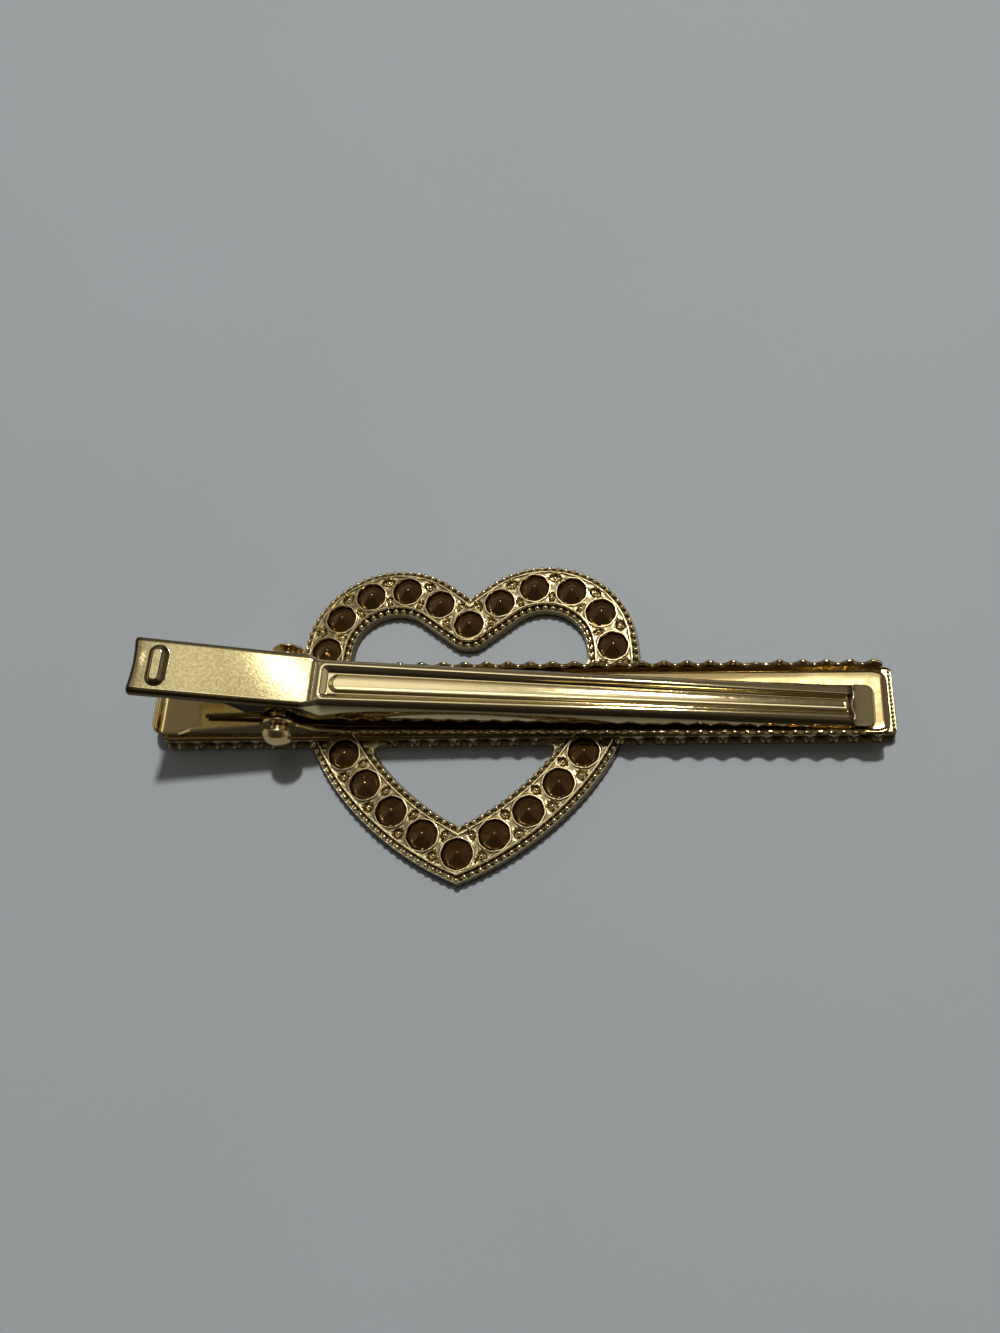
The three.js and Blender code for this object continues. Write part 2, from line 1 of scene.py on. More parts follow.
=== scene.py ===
"""Looks of a gold-plated hair clip that lies face down: sprung clip behind, jewelled heart and bar in front.

Sizes are in millimetres in the clip's own frame, with the rivet's axis at x = 0 and y = 0, and become
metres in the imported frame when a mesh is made.
"""

import json
import logging
import math
from dataclasses import dataclass
from enum import Enum

import bmesh
import bpy
import numpy as np
from mathutils import Matrix, Vector


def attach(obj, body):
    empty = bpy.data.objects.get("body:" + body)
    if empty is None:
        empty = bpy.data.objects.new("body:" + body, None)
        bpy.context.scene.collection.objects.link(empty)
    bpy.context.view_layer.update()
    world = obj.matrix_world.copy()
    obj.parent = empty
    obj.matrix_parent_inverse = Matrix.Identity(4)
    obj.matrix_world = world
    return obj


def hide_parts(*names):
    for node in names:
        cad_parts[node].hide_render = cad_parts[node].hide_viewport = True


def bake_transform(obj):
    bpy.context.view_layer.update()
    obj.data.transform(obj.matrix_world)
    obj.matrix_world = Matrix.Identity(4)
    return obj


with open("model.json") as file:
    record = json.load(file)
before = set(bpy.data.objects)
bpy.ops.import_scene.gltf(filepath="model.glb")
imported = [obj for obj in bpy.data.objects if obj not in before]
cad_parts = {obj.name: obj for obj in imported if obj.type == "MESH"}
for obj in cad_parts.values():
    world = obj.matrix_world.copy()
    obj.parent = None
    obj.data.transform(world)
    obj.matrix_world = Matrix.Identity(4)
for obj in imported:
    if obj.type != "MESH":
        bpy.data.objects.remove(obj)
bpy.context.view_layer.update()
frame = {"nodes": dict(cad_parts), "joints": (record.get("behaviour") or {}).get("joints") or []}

LOG = logging.getLogger("hair_clip")
MM = 0.001
# In millimetres: the pivot's height over the table, how far the upper arm's plate stands above the pivot at
# the tab's end and at the crease, the crease's place, the run between the two, and the rivet hole's radius.
PIVOT_Z = 4.77
TAB_RISE = 7.0
CREASE_RISE = 2.93
CREASE_X = 4.0
TAB_RUN = 17.95
HOLE_RADIUS = 0.9
FAINT = 1e-6
Array = np.ndarray
Chain = list[tuple[np.ndarray, np.ndarray]]
Way = tuple[float, float, float]
MIRROR = np.array([-1.0, 1.0, 1.0])
BOTH_SIDES = (np.ones(3), MIRROR)


class Body(Enum):
    """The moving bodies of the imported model."""

    BASE = "clip_base"
    JAW = "upper_jaw"


class Slot(Enum):
    """Material slots of the record."""

    CASTING = "gold_casting"
    CRYSTAL = "crystal"
    SHEET = "gold_sheet"
    RIVET = "gold_rivet"
    SPRING = "spring_wire"


def srgb(code: str) -> tuple[float, float, float, float]:
    """Turns an sRGB hex colour into linear red, green, blue and alpha.

    Args:
        code: Six hex digits after a hash.

    Returns:
        The linear colour with an alpha of one.
    """
    parts = [int(code[i:i + 2], 16) / 255 for i in (1, 3, 5)]
    linear = [c / 12.92 if c <= 0.04045 else ((c + 0.055) / 1.055) ** 2.4 for c in parts]
    return (linear[0], linear[1], linear[2], 1.0)


def smooth(low: float, high: float, value: Array) -> Array:
    """Rises from 0 to 1 between low and high along the cubic 3t squared minus 2t cubed."""
    t = np.clip((value - low) / (high - low), 0.0, 1.0)
    return t * t * (3 - 2 * t)


def bump(value: Array, width: float) -> Array:
    """A bell of height 1 at zero: e to the minus square of value over width."""
    return np.exp(-((value / width) ** 2))


def plateau(distance: Array, flat: float, fall: float) -> Array:
    """1 up to the flat distance, then down to 0 at the fall distance along the same cubic."""
    return 1.0 - smooth(flat, fall, distance)


def rounded_drop(distance: Array, radius: float) -> Array:
    """How far a quarter circle of that radius has dropped at a distance from its end; 0 past the radius."""
    t = np.clip(distance, 0.0, radius)
    return radius - np.sqrt(np.maximum(radius**2 - (radius - t) ** 2, 0.0))


def resample(line: Array, count: int) -> Array:
    """Spreads points evenly by length along a polyline.

    Args:
        line: Polyline points, one per row.
        count: How many points to return, both ends included.

    Returns:
        The new points.
    """
    step = np.linalg.norm(np.diff(line, axis=0), axis=1)
    along = np.concatenate([[0.0], np.cumsum(step)])
    wanted = np.linspace(0.0, along[-1], count)
    return np.stack([np.interp(wanted, along, line[:, k]) for k in range(line.shape[1])], axis=1)


@dataclass(frozen=True)
class Placement:
    """A turn about the vertical and a shift, from a sub-assembly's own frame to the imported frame."""

    turn_deg: float
    shift: Way

    def to_metres(self, points: Array) -> Array:
        """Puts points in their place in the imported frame.

        Args:
            points: Points in millimetres, in the piece's own frame.

        Returns:
            The points turned and shifted, in metres.
        """
        angle = math.radians(self.turn_deg)
        c, s = math.cos(angle), math.sin(angle)
        turn = np.array([[c, s, 0.0], [-s, c, 0.0], [0.0, 0.0, 1.0]])
        return (points @ turn + np.array(self.shift)) * MM


def grid_quads(rows: int, cols: int, ring: bool) -> Array:
    """Faces of a grid of points.

    Args:
        rows: Rows of points.
        cols: Columns of points.
        ring: Whether the last column joins the first.

    Returns:
        Four point numbers for each face.
    """
    r = np.arange(rows - 1)[:, None] * cols
    c = np.arange(cols if ring else cols - 1)[None, :]
    n = (c + 1) % cols
    return np.stack([r + c, r + n, r + cols + n, r + cols + c], axis=-1).reshape(-1, 4)


class Shell:
    """Points and four-sided faces of one piece while it is put together."""

    WELD = 2.3e-7

    def __init__(self) -> None:
        """Starts with nothing."""
        self._points: list[Array] = []
        self._quads: list[Array] = []
        self._slots: list[Array] = []
        self._painted_shade: list[Array] = []
        self._count = 0

    def add(self, points: Array, quads: Array, slot: int = 0, recess: Array | float = 0.0) -> None:
        """Adds loose faces.

        Args:
            points: Corner points in millimetres.
            quads: Four point numbers per face, counted from this call's first point.
            slot: Material number of these faces.
            recess: How much shade is painted into each point's colour, from 0 to 1.
        """
        flat = points.reshape(-1, 3)
        self._points.append(flat)
        self._quads.append(quads + self._count)
        self._slots.append(np.full(len(quads), slot, dtype=np.int32))
        self._painted_shade.append(np.broadcast_to(np.asarray(recess, dtype=float).reshape(-1), (len(flat),)))
        self._count += len(flat)

    def add_grid(self, grid: Array, slot: int = 0, recess: Array | float = 0.0, ring: bool = False) -> None:
        """Adds a surface given as a grid of points.

        Args:
            grid: Points by row and column.
            slot: Material number.
            recess: Painted shade of each point, or one for all.
            ring: Whether the last column joins the first.
        """
        self.add(grid, grid_quads(*grid.shape[:2], ring), slot, recess)

    def add_copies(self, shape: Array, centres: Array, scale: float, slot: int = 0,
                   recess: float = 0.0) -> None:
        """Adds one small grid shape, closed round its columns, at many places.

        Args:
            shape: Grid of points about the origin.
            centres: A place for each copy.
            scale: Size of the copies.
            slot: Material number.
            recess: Painted shade of all copies.
        """
        rows, cols = shape.shape[:2]
        points = shape.reshape(1, -1, 3) * scale + centres[:, None, :]
        first = np.arange(len(centres))[:, None, None] * rows * cols
        self.add(points, (grid_quads(rows, cols, True) + first).reshape(-1, 4), slot, recess)

    def make(self, name: str, place: Placement, materials: list[bpy.types.Material],
             sharp_deg: float = 40.0) -> bpy.types.Object:
        """Welds equal points, turns faces outwards and makes the object.

        Args:
            name: Name of the piece.
            place: Where its frame lies.
            materials: Materials by number.
            sharp_deg: Edges that bend more than this stay sharp.

        Returns:
            The linked object, at the origin.
        """
        points = place.to_metres(np.concatenate(self._points))
        slots = np.concatenate(self._slots)
        keys = np.round(points / self.WELD).astype(np.int64)
        _, first, back = np.unique(keys, axis=0, return_index=True, return_inverse=True)
        quads = back.reshape(-1)[np.concatenate(self._quads)]
        same = quads == np.roll(quads, -1, axis=1)
        whole = same.sum(axis=1) == 0
        folded = [(same.sum(axis=1) == 1) & same[:, k] for k in range(4)]
        three = np.concatenate([np.delete(quads[fold], k, axis=1) for k, fold in enumerate(folded)])
        corners = np.concatenate([quads[whole].reshape(-1), three.reshape(-1)]).astype(np.int32)
        sizes = np.concatenate([np.full(int(whole.sum()), 4), np.full(len(three), 3)]).astype(np.int32)
        starts = np.concatenate([[0], np.cumsum(sizes)[:-1]]).astype(np.int32)
        numbers = np.concatenate([slots[whole], *[slots[fold] for fold in folded]]).astype(np.int32)
        mesh = bpy.data.meshes.new(name)
        mesh.vertices.add(len(first))
        mesh.vertices.foreach_set("co", points[first].astype(np.float32).reshape(-1))
        mesh.loops.add(len(corners))
        mesh.loops.foreach_set("vertex_index", corners)
        mesh.polygons.add(len(sizes))
        mesh.polygons.foreach_set("loop_start", starts)
        mesh.polygons.foreach_set("material_index", numbers)
        # Each point's painted shade goes into the recess attribute, which the gold materials turn into darker
        # colour.
        painted_shade = mesh.attributes.new("recess", "FLOAT", "POINT")
        painted_shade.data.foreach_set("value", np.concatenate(self._painted_shade)[first].astype(np.float32))
        mesh.update(calc_edges=True)
        mesh.validate()
        work = bmesh.new()
        work.from_mesh(mesh)
        bmesh.ops.recalc_face_normals(work, faces=work.faces[:])
        work.to_mesh(mesh)
        work.free()
        for material in materials:
            mesh.materials.append(material)
        mesh.shade_smooth()
        mesh.set_sharp_from_angle(angle=math.radians(sharp_deg))
        piece = bpy.data.objects.new(name, mesh)
        bpy.context.scene.collection.objects.link(piece)
        return piece


def bead_shape(rows: int, cols: int) -> Array:
    """A ball of radius 1: sine and cosine of the polar angle carried round in equal steps.

    Args:
        rows: Steps from pole to pole.
        cols: Steps round.

    Returns:
        A grid of points about the origin.
    """
    polar = np.linspace(0.0, math.pi, rows)[:, None]
    turn = np.linspace(0.0, 2 * math.pi, cols, endpoint=False)[None, :]
    return np.stack([np.sin(polar) * np.cos(turn), np.sin(polar) * np.sin(turn),
                     np.cos(polar) * np.ones_like(turn)], axis=-1)


def at_height(places: Array, z: float) -> Array:
    """Points with one more coordinate, the same for all: a height, or a place across."""
    return np.column_stack([places, np.full(len(places), z)])


def drill(piece: bpy.types.Object, place: Placement) -> None:
    """Cuts the rivet's hole across a sheet piece.

    Args:
        piece: The piece to cut.
        place: The rivet's placement.
    """
    turn = np.linspace(0.0, 2 * math.pi, 40, endpoint=False)
    ring = HOLE_RADIUS * np.column_stack([np.cos(turn), 0.0 * turn, np.sin(turn)])
    axis, reach = np.array([0.0, 0.0, PIVOT_Z]), np.array([0.0, 12.0, 0.0])
    shell = Shell()
    rows = [axis + ring * wide + reach * end for wide, end in ((0, -1), (1, -1), (1, 1), (0, 1))]
    shell.add_grid(np.stack(rows), ring=True)
    cutter = shell.make("cutter", place, [])
    cut = piece.modifiers.new("hole", "BOOLEAN")
    cut.operation = "DIFFERENCE"
    cut.object = cutter
    cut.solver = "MANIFOLD"
    graph = bpy.context.evaluated_depsgraph_get()
    mesh = bpy.data.meshes.new_from_object(piece.evaluated_get(graph))
    piece.modifiers.clear()
    piece.data = mesh
    bpy.data.objects.remove(cutter)


def dress(piece: bpy.types.Object, body: Body, slot: Slot, *nodes: str,
          winding: list[Way] | None = None) -> None:
    """Puts a piece on its body, or leaves it fixed where it lies if it winds up, hides the solids it stands
    for, and reports it.

    Args:
        piece: The finished piece.
        body: The body that carries it.
        slot: The record's material slot; not used.
        *nodes: Solids that it replaces.
        winding: Two points across a coil that winds up; when given, the piece is baked in place and not put
            on the body.
    """
    if winding:
        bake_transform(piece)
    else:
        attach(piece, body.value)
    if nodes:
        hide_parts(*nodes)
    LOG.info("%s: %d faces on %s", piece.name, len(piece.data.polygons), body.value)


def plug(tree: bpy.types.NodeTree, node: bpy.types.Node, links: dict) -> None:
    """Sets a node's inputs.

    Args:
        tree: The node tree.
        node: The node.
        links: Input name or number to a value, or to another node's output socket.
    """
    for key, value in links.items():
        if isinstance(value, bpy.types.NodeSocket):
            tree.links.new(value, node.inputs[key])
        else:
            node.inputs[key].default_value = value


def add_node(tree: bpy.types.NodeTree, kind: str, links: dict | None = None, **settings) -> bpy.types.Node:
    """Adds one node.

    Args:
        tree: The node tree.
        kind: Blender's node type.
        links: Inputs to set, as for plug.
        **settings: Properties of the node.

    Returns:
        The node.
    """
    node = tree.nodes.new(kind)
    for key, value in settings.items():
        setattr(node, key, value)
    plug(tree, node, links or {})
    return node


def new_material(name: str) -> tuple[bpy.types.Material, bpy.types.NodeTree, bpy.types.Node]:
    """Makes a node material and returns it with its tree and its Principled shader."""
    material = bpy.data.materials.new(name)
    material.use_nodes = True
    return material, material.node_tree, material.node_tree.nodes["Principled BSDF"]


def noise(tree: bpy.types.NodeTree, grain_mm: float, detail: float,
          rough: float = 0.5) -> bpy.types.NodeSocket:
    """Noise fixed to the object.

    Args:
        tree: The node tree.
        grain_mm: Size of its grains in millimetres.
        detail: How many finer layers lie on it.
        rough: How strong each finer layer is.

    Returns:
        Its value, mostly between 0.3 and 0.7.
    """
    where = add_node(tree, "ShaderNodeTexCoord").outputs["Object"]
    links = {"Vector": where, "Scale": 1.0 / (grain_mm * MM), "Detail": detail, "Roughness": rough}
    return add_node(tree, "ShaderNodeTexNoise", links).outputs["Fac"]


def mixed(tree: bpy.types.NodeTree, share: bpy.types.NodeSocket, *tones) -> bpy.types.NodeSocket:
    """A colour between two tones, the second of them where the share is 1."""
    return add_node(tree, "ShaderNodeMix", {0: share, 6: tones[0], 7: tones[1]}, data_type="RGBA").outputs[2]


@dataclass(frozen=True)
class PlatedGold:
    """Thin gold over polished metal: the eye sees a yellow mirror, browned by painted shade where the recess
    attribute is high.
    """

    name: str
    pale: str
    deep: str
    shade_tone: str
    roughness: float
    rough_spread: float
    grain_mm: float
    grain_height_mm: float
    tone_mm: float = 2.5

    def material(self) -> bpy.types.Material:
        """Builds the plating: tone drifts over millimetres, painted shade browns it, and fine grain roughens
        it.
        """
        material, tree, shader = new_material(self.name)
        tone = mixed(tree, noise(tree, self.tone_mm, 3.0), srgb(self.pale), srgb(self.deep))
        painted_shade = add_node(tree, "ShaderNodeAttribute", attribute_name="recess").outputs["Fac"]
        grain = noise(tree, self.grain_mm, 4.0, 0.6)
        rough = add_node(tree, "ShaderNodeMapRange", {
            "Value": grain, 1: 0.3, 2: 0.7,
            3: self.roughness - self.rough_spread, 4: self.roughness + self.rough_spread})
        relief = add_node(tree, "ShaderNodeBump", {
            "Strength": 1.0, "Distance": self.grain_height_mm * MM, "Height": grain})
        # Painted shade: the recess attribute mixes the gold's tone towards the dark shade tone.
        plug(tree, shader, {
            "Metallic": 1.0, "Base Color": mixed(tree, painted_shade, tone, srgb(self.shade_tone)),
            "Roughness": rough.outputs["Result"], "Normal": relief.outputs["Normal"]})
        return material


@dataclass(frozen=True)
class FoilLacquer:
    """Brown lacquer over the foil on a stone's back: dark and glossy, with a warm sheen on the lit side."""

    name: str = "stone_back_lacquer"
    light: str = "#412C14"
    dark: str = "#1C1008"
    sheen: str = "#F2C488"
    gloss: float = 0.9
    roughness: float = 0.12
    stroke_mm: float = 0.9
    ripple_mm: float = 0.01

    def material(self) -> bpy.types.Material:
        """Builds the lacquer: brushed on, so its depth of colour varies over about a millimetre."""
        material, tree, shader = new_material(self.name)
        drift = noise(tree, self.stroke_mm, 3.0)
        ripple = add_node(tree, "ShaderNodeBump", {
            "Strength": 0.4, "Distance": self.ripple_mm * MM, "Height": drift})
        plug(tree, shader, {
            "Base Color": mixed(tree, drift, srgb(self.dark), srgb(self.light)), "Roughness": self.roughness,
            "Specular IOR Level": self.gloss, "Specular Tint": srgb(self.sheen),
            "Normal": ripple.outputs["Normal"]})
        return material


@dataclass(frozen=True)
class CutGlass:
    """Clear cut glass of a stone's front: the eye sees the foil's glitter through it."""

    name: str = "cut_glass"
    tint: str = "#F6F3EC"
    ior: float = 1.56
    mark_mm: float = 0.4
    roughest: float = 0.04

    def material(self) -> bpy.types.Material:
        """Builds the glass, with faint polishing marks as its only roughness."""
        material, tree, shader = new_material(self.name)
        polish = noise(tree, self.mark_mm, 2.0)
        rough = add_node(tree, "ShaderNodeMapRange", {"Value": polish, 3: 0.0, 4: self.roughest})
        plug(tree, shader, {
            "Base Color": srgb(self.tint), "Roughness": rough.outputs["Result"],
            "Transmission Weight": 1.0, "IOR": self.ior})
        return material


@dataclass(frozen=True)
class Laminate:
    """Matt laminate of the table: a plain pale grey that clouds faintly over centimetres."""

    name: str = "table_laminate"
    pale: str = "#9DA3A9"
    deep: str = "#999FA4"
    cloud_mm: float = 45.0
    gloss: float = 0.2
    roughness: float = 0.6

    def material(self) -> bpy.types.Material:
        """Builds the laminate."""
        material, tree, shader = new_material(self.name)
        tone = mixed(tree, noise(tree, self.cloud_mm, 2.0), srgb(self.pale), srgb(self.deep))
        links = {"Base Color": tone, "Roughness": self.roughness, "Specular IOR Level": self.gloss}
        plug(tree, shader, links)
        return material


@dataclass(frozen=True)
class HeartCurve:
    """Middle line of the heart's limb: straight from the cleft, round the lobe, in a curve to the point."""

    length: float = 25.0
    cleft_share: float = 0.376
    lobe_x: float = 8.0
    lobe_drop: float = 3.0
    lobe_inset: float = 0.75
    lobe_end_deg: float = 9.6
    point_slope_deg: float = 23.5
    handle_top: float = 10.8
    handle_point: float = 8.8
    stone_steps: int = 12

    def half(self) -> tuple[Array, Array]:
        """Works out the right half, from the cleft to the point.

        Returns:
            Evenly spaced points and the unit tangents there.
        """
        cleft = np.array([0.0, self.length * self.cleft_share])
        lobe = np.array([self.lobe_x, cleft[1] - self.lobe_drop])
        radius = self.lobe_x - self.lobe_inset
        reach = float(np.linalg.norm(lobe - cleft))
        straight = math.sqrt(reach**2 - radius**2)
        bearing = math.atan2(lobe[1] - cleft[1], lobe[0]) + math.asin(radius / reach)
        touch = cleft + straight * np.array([math.cos(bearing), math.sin(bearing)])
        turn = np.linspace(math.atan2(*(touch - lobe)[::-1]), math.radians(self.lobe_end_deg), 600)
        arc = lobe + radius * np.stack([np.cos(turn), np.sin(turn)], axis=1)
        end = math.radians(self.lobe_end_deg)
        slope = math.radians(self.point_slope_deg)
        tip = np.array([0.0, cleft[1] - self.length])
        p1 = arc[-1] + self.handle_top * np.array([math.sin(end), -math.cos(end)])
        p2 = tip + self.handle_point * np.array([math.cos(slope), math.sin(slope)])
        t = np.linspace(0.0, 1.0, 900)[1:, None]
        curve = (1 - t) ** 3 * arc[-1] + 3 * t * (1 - t) ** 2 * p1 + 3 * t * t * (1 - t) * p2 + t**3 * tip
        first = np.linspace(cleft, touch, 200)[:-1]
        points = resample(np.concatenate([first, arc, curve]), 2401)
        tangent = np.gradient(points, axis=0)
        return points, tangent / np.linalg.norm(tangent, axis=1, keepdims=True)

    def offset_line(self, offset: float) -> tuple[Array, Array]:
        """A line beside the right half, from axis to axis.

        Args:
            offset: Distance outside the middle line; negative is inside.

        Returns:
            The points, and for each its length along the middle line, which runs past both ends.
        """
        points, tangent = self.half()
        along = np.linspace(0.0, self.total(), len(points))
        side = points + offset * np.stack([-tangent[:, 1], tangent[:, 0]], axis=1)
        keep = side[:, 0] > 0.02
        line, at = side[keep], along[keep]
        low = line[-1] + (line[-1] - line[-4]) * line[-1, 0] / (line[-4, 0] - line[-1, 0])
        if offset > 0:
            top = line[:1] + (line[:1] - line[3:4]) * line[0, 0] / (line[3, 0] - line[0, 0])
        else:
            turn = np.linspace(-math.pi / 2, math.atan2(line[0, 1] - points[0, 1], line[0, 0]), 12)[:-1]
            top = points[0] - offset * np.stack([np.cos(turn), np.sin(turn)], axis=1)
        before = np.linspace(-1.0, -0.1, len(top))
        return np.concatenate([top, line, low[None]]), np.concatenate([before, at, [self.total() + 1.0]])

    def total(self) -> float:
        """Length of the right half."""
        points, _ = self.half()
        return float(np.linalg.norm(np.diff(points, axis=0), axis=1).sum())

    def rail(self, offset: float, low: float, high: float, count: int) -> Array:
        """Part of a line beside the right half.

        Args:
            offset: Distance outside the middle line.
            low: Where it starts along the middle line.
            high: Where it ends.
            count: Number of points.

        Returns:
            Evenly spaced points.
        """
        line, at = self.offset_line(offset)
        low = at[0] if low <= 0.0 else low
        high = at[-1] if high >= self.total() - FAINT else high
        ends = [np.stack([np.interp(v, at, line[:, k]) for k in range(2)]) for v in (low, high)]
        middle = line[(at > low + FAINT) & (at < high - FAINT)]
        return resample(np.concatenate([ends[0][None], middle, ends[1][None]]), count)


@dataclass(frozen=True)
class SeatFace:
    """One face of the stone setting: heights of its ridges, window floors and seat lip."""

    crest: float
    floor: float
    lip: float
    lip_radius: float
    crest_radius: float


@dataclass(frozen=True)
class Cup:
    """One stone's cell: its middle, the way along the limb, and its four edges."""

    centre: Array
    along: Array
    loop: Array
    across: Array
    share: Array


@dataclass
class JewelledFront:
    """Heart and bar in one casting, with beaded edges and a stone in every seat."""

    place: Placement
    curve: HeartCurve
    rail_offset: float = 1.88
    half_limb: float = 2.6
    bar_left: float = -32.2
    bar_right: float = 42.9
    bar_half: float = 3.95
    bar_row: float = 1.9
    bar_pitch: float = 4.2
    block_steps: int = 9
    gusset_bar: float = 2.2
    gusset_edge: float = 2.7
    seat_clear: float = 3.8
    ridge: float = 0.24
    web_rise: float = 0.74
    window_at: float = 1.19
    window_flat: float = 0.42
    window_edge: float = 0.57
    rail_points: int = 17
    cross_points: int = 17
    bead_pitch: float = 0.86
    bead_radius: float = 0.33
    grain_offset: float = 2.33
    grain_radius: float = 0.32
    grain_level: float = 1.16
    bead_levels: tuple[float, float] = (1.2, 0.24)
    cut_share: float = 0.016
    heart_back: tuple[float, float] = (1.2, 0.82)
    bar_back: tuple[float, float] = (0.87, 0.61)
    back: SeatFace = SeatFace(1.6, 1.04, 1.0, 1.55, 1.63)
    front: SeatFace = SeatFace(0.0, 0.3, 0.42, 1.6, 1.72)

    def edge_profile(self) -> Array:
        """Offset from the limb's middle, and height, from the back rail round the edge to the front rail."""
        r, w = self.rail_offset, self.half_limb
        return np.array([
            [r, self.back.crest], [r + 0.06, 1.55], [r + 0.1, 1.35], [r + 0.14, 1.1], [r + 0.2, 1.0],
            [w - 0.18, 1.0], [w - 0.12, 1.05], [w - 0.08, 1.08], [w - 0.04, 1.08], [w, 1.02], [w + 0.03, 0.9],
            [w + 0.16, 0.3], [w + 0.14, 0.12], [w + 0.04, 0.02], [r + 0.16, 0.02], [r + 0.1, 0.1],
            [r, self.front.crest]])

    def edge_painted_shade(self) -> Array:
        """Painted shade of each point of the edge profile: high in the groove and below, low at the beads."""
        points = np.arange(len(self.edge_profile()))
        return np.interp(points, [1, 3, 5, 7, 8, 10, 12], [0.0, 0.85, 0.8, 0.35, 0.35, 0.85, 0.92])

    def sides(self, low: float, high: float) -> tuple[Array, ...]:
        """Flips of a cell: as it is and mirrored, or only as it is where it already holds both halves."""
        whole = low == 0.0 or high >= self.curve.total() - FAINT
        return BOTH_SIDES[:1] if whole else BOTH_SIDES

    def cups(self) -> list[tuple[Cup, float, float]]:
        """Lays out the cells of the right half that the bar leaves free.

        Returns:
            Each cell with its ends along the middle line; the first and last are halves of mirrored cells.
        """
        points, tangent = self.curve.half()
        pitch = self.curve.total() / self.curve.stone_steps
        found = []
        for step in range(self.curve.stone_steps + 1):
            at = min(int(round(step * (len(points) - 1) / self.curve.stone_steps)), len(points) - 1)
            if abs(points[at][1]) < self.bar_half:
                continue
            low = max(step - 0.5, 0.0) * pitch
            high = min(step + 0.5, float(self.curve.stone_steps)) * pitch
            found.append((self.cell(points[at], tangent[at], low, high), low, high))
        return found

    def cell(self, centre: Array, along: Array, low: float, high: float) -> Cup:
        """Edges of one cell, run round from its outer rail.

        Args:
            centre: Middle of the stone.
            along: Unit tangent of the middle line there.
            low: Start of the cell along the middle line.
            high: End of the cell.

        Returns:
            The cell; at the cleft and the point it is whole, with its mirrored half.
        """
        outer = self.curve.rail(self.rail_offset, low, high, self.rail_points)
        inner = self.curve.rail(-self.rail_offset, low, high, self.rail_points)
        mirror = MIRROR[:2]
        if low == 0.0:
            outer = np.concatenate([outer[:0:-1] * mirror, outer])
            inner = np.concatenate([inner[:0:-1] * mirror, inner])
            along = np.array([1.0, 0.0])
        if high >= self.curve.total() - FAINT:
            outer = np.concatenate([outer, outer[-2::-1] * mirror])
            inner = np.concatenate([inner, inner[-2::-1] * mirror])
            along = np.array([-1.0, 0.0])
        return self.frame_cell(centre, along, outer, inner)

    def frame_cell(self, centre: Array, along: Array, outer: Array, inner: Array) -> Cup:
        """Joins two rails and two cross lines into one closed cell edge.

        Args:
            centre: Middle of the stone.
            along: Unit way along the limb.
            outer: Points of the outer rail.
            inner: Points of the inner rail, the same way along.

        Returns:
            The cell with the place across and the share of the way to its ends at each edge point.
        """
        spread = np.linspace(1.0, -1.0, self.cross_points)
        weight = ((1 + spread) / 2)[:, None]
        last = outer[-1] * weight + inner[-1] * (1 - weight)
        first = outer[0] * weight + inner[0] * (1 - weight)
        loop = np.concatenate([outer[:-1], last[:-1], inner[:0:-1], first[:0:-1]])
        side = np.abs(np.linspace(-1.0, 1.0, len(outer)))
        rail, cross = np.ones(len(outer) - 1), np.ones(len(spread) - 1)
        across = np.concatenate([rail, spread[:-1], -rail, -spread[:-1]])
        share = np.concatenate([side[:-1], cross, side[:-1], cross])
        return Cup(centre, along, loop, across * self.rail_offset, share)

    def face_grid(self, cup: Cup, face: SeatFace) -> tuple[Array, Array]:
        """One face of a cell, ring by ring from the seat's lip to the cell's edge.

        Height is the window floor plus the greater of the seat's flat-topped ridge and the pierced web.

        Args:
            cup: The cell.
            face: The heights of this face.

        Returns:
            The grid of points and the shade painted at each.
        """
        ray = cup.loop - cup.centre
        angle = np.arctan2(ray[:, 1], ray[:, 0])
        facing = math.atan2(cup.along[1], cup.along[0])
        eight = 1 + self.cut_share * np.cos(8 * (angle - facing))
        unit = np.stack([np.cos(angle), np.sin(angle)], axis=1)
        normal = np.array([-cup.along[1], cup.along[0]])
        rings, painted_shade = [], []
        for part, rise in ((0.0, 0.0), (0.12, 0.5), (0.34, 0.8), (0.64, 0.95), (1.0, 1.0)):
            radius = (face.lip_radius + (face.crest_radius - face.lip_radius) * part) * eight
            level = np.full(len(ray), face.lip + (face.crest - face.lip) * rise)
            rings.append(np.column_stack([cup.centre + unit * radius[:, None], level]))
            # Painted shade, strongest at the seat's lip and fading up its wall.
            painted_shade.append(np.full(len(ray), 0.9 * (1 - rise)))
        start = rings[-1][:, :2]
        u_start = (start - cup.centre) @ normal
        q_start = np.abs((start - cup.centre) @ cup.along) / (0.5 * self.bar_pitch)
        for t in (0.06, 0.12, 0.19, 0.27, 0.36, 0.46, 0.56, 0.66, 0.76, 0.85, 0.92, 0.97, 1.0):
            place = start * (1 - t) + cup.loop * t
            u = u_start * (1 - t) + cup.across * t
            q = q_start * (1 - t) + cup.share * t
            from_ring = np.linalg.norm(place - start, axis=1)
            ring = plateau(from_ring, 0.4 * self.ridge, self.ridge) * (t < 1)
            short = (1 - q) * 0.5 * self.bar_pitch
            height = np.maximum(ring, self.web(u, short))
            rings.append(np.column_stack([place, face.floor + (face.crest - face.floor) * height]))
            # Painted shade over the web below its tops; the windows' rims are left unshaded as painted
            # highlight.
            rim = bump(self.from_window(u, short) - self.window_edge - 0.08, 0.2)
            painted_shade.append(0.75 * (1 - smooth(0.76, 0.97, height)) * (1 - rim))
        return np.stack(rings), np.stack(painted_shade)

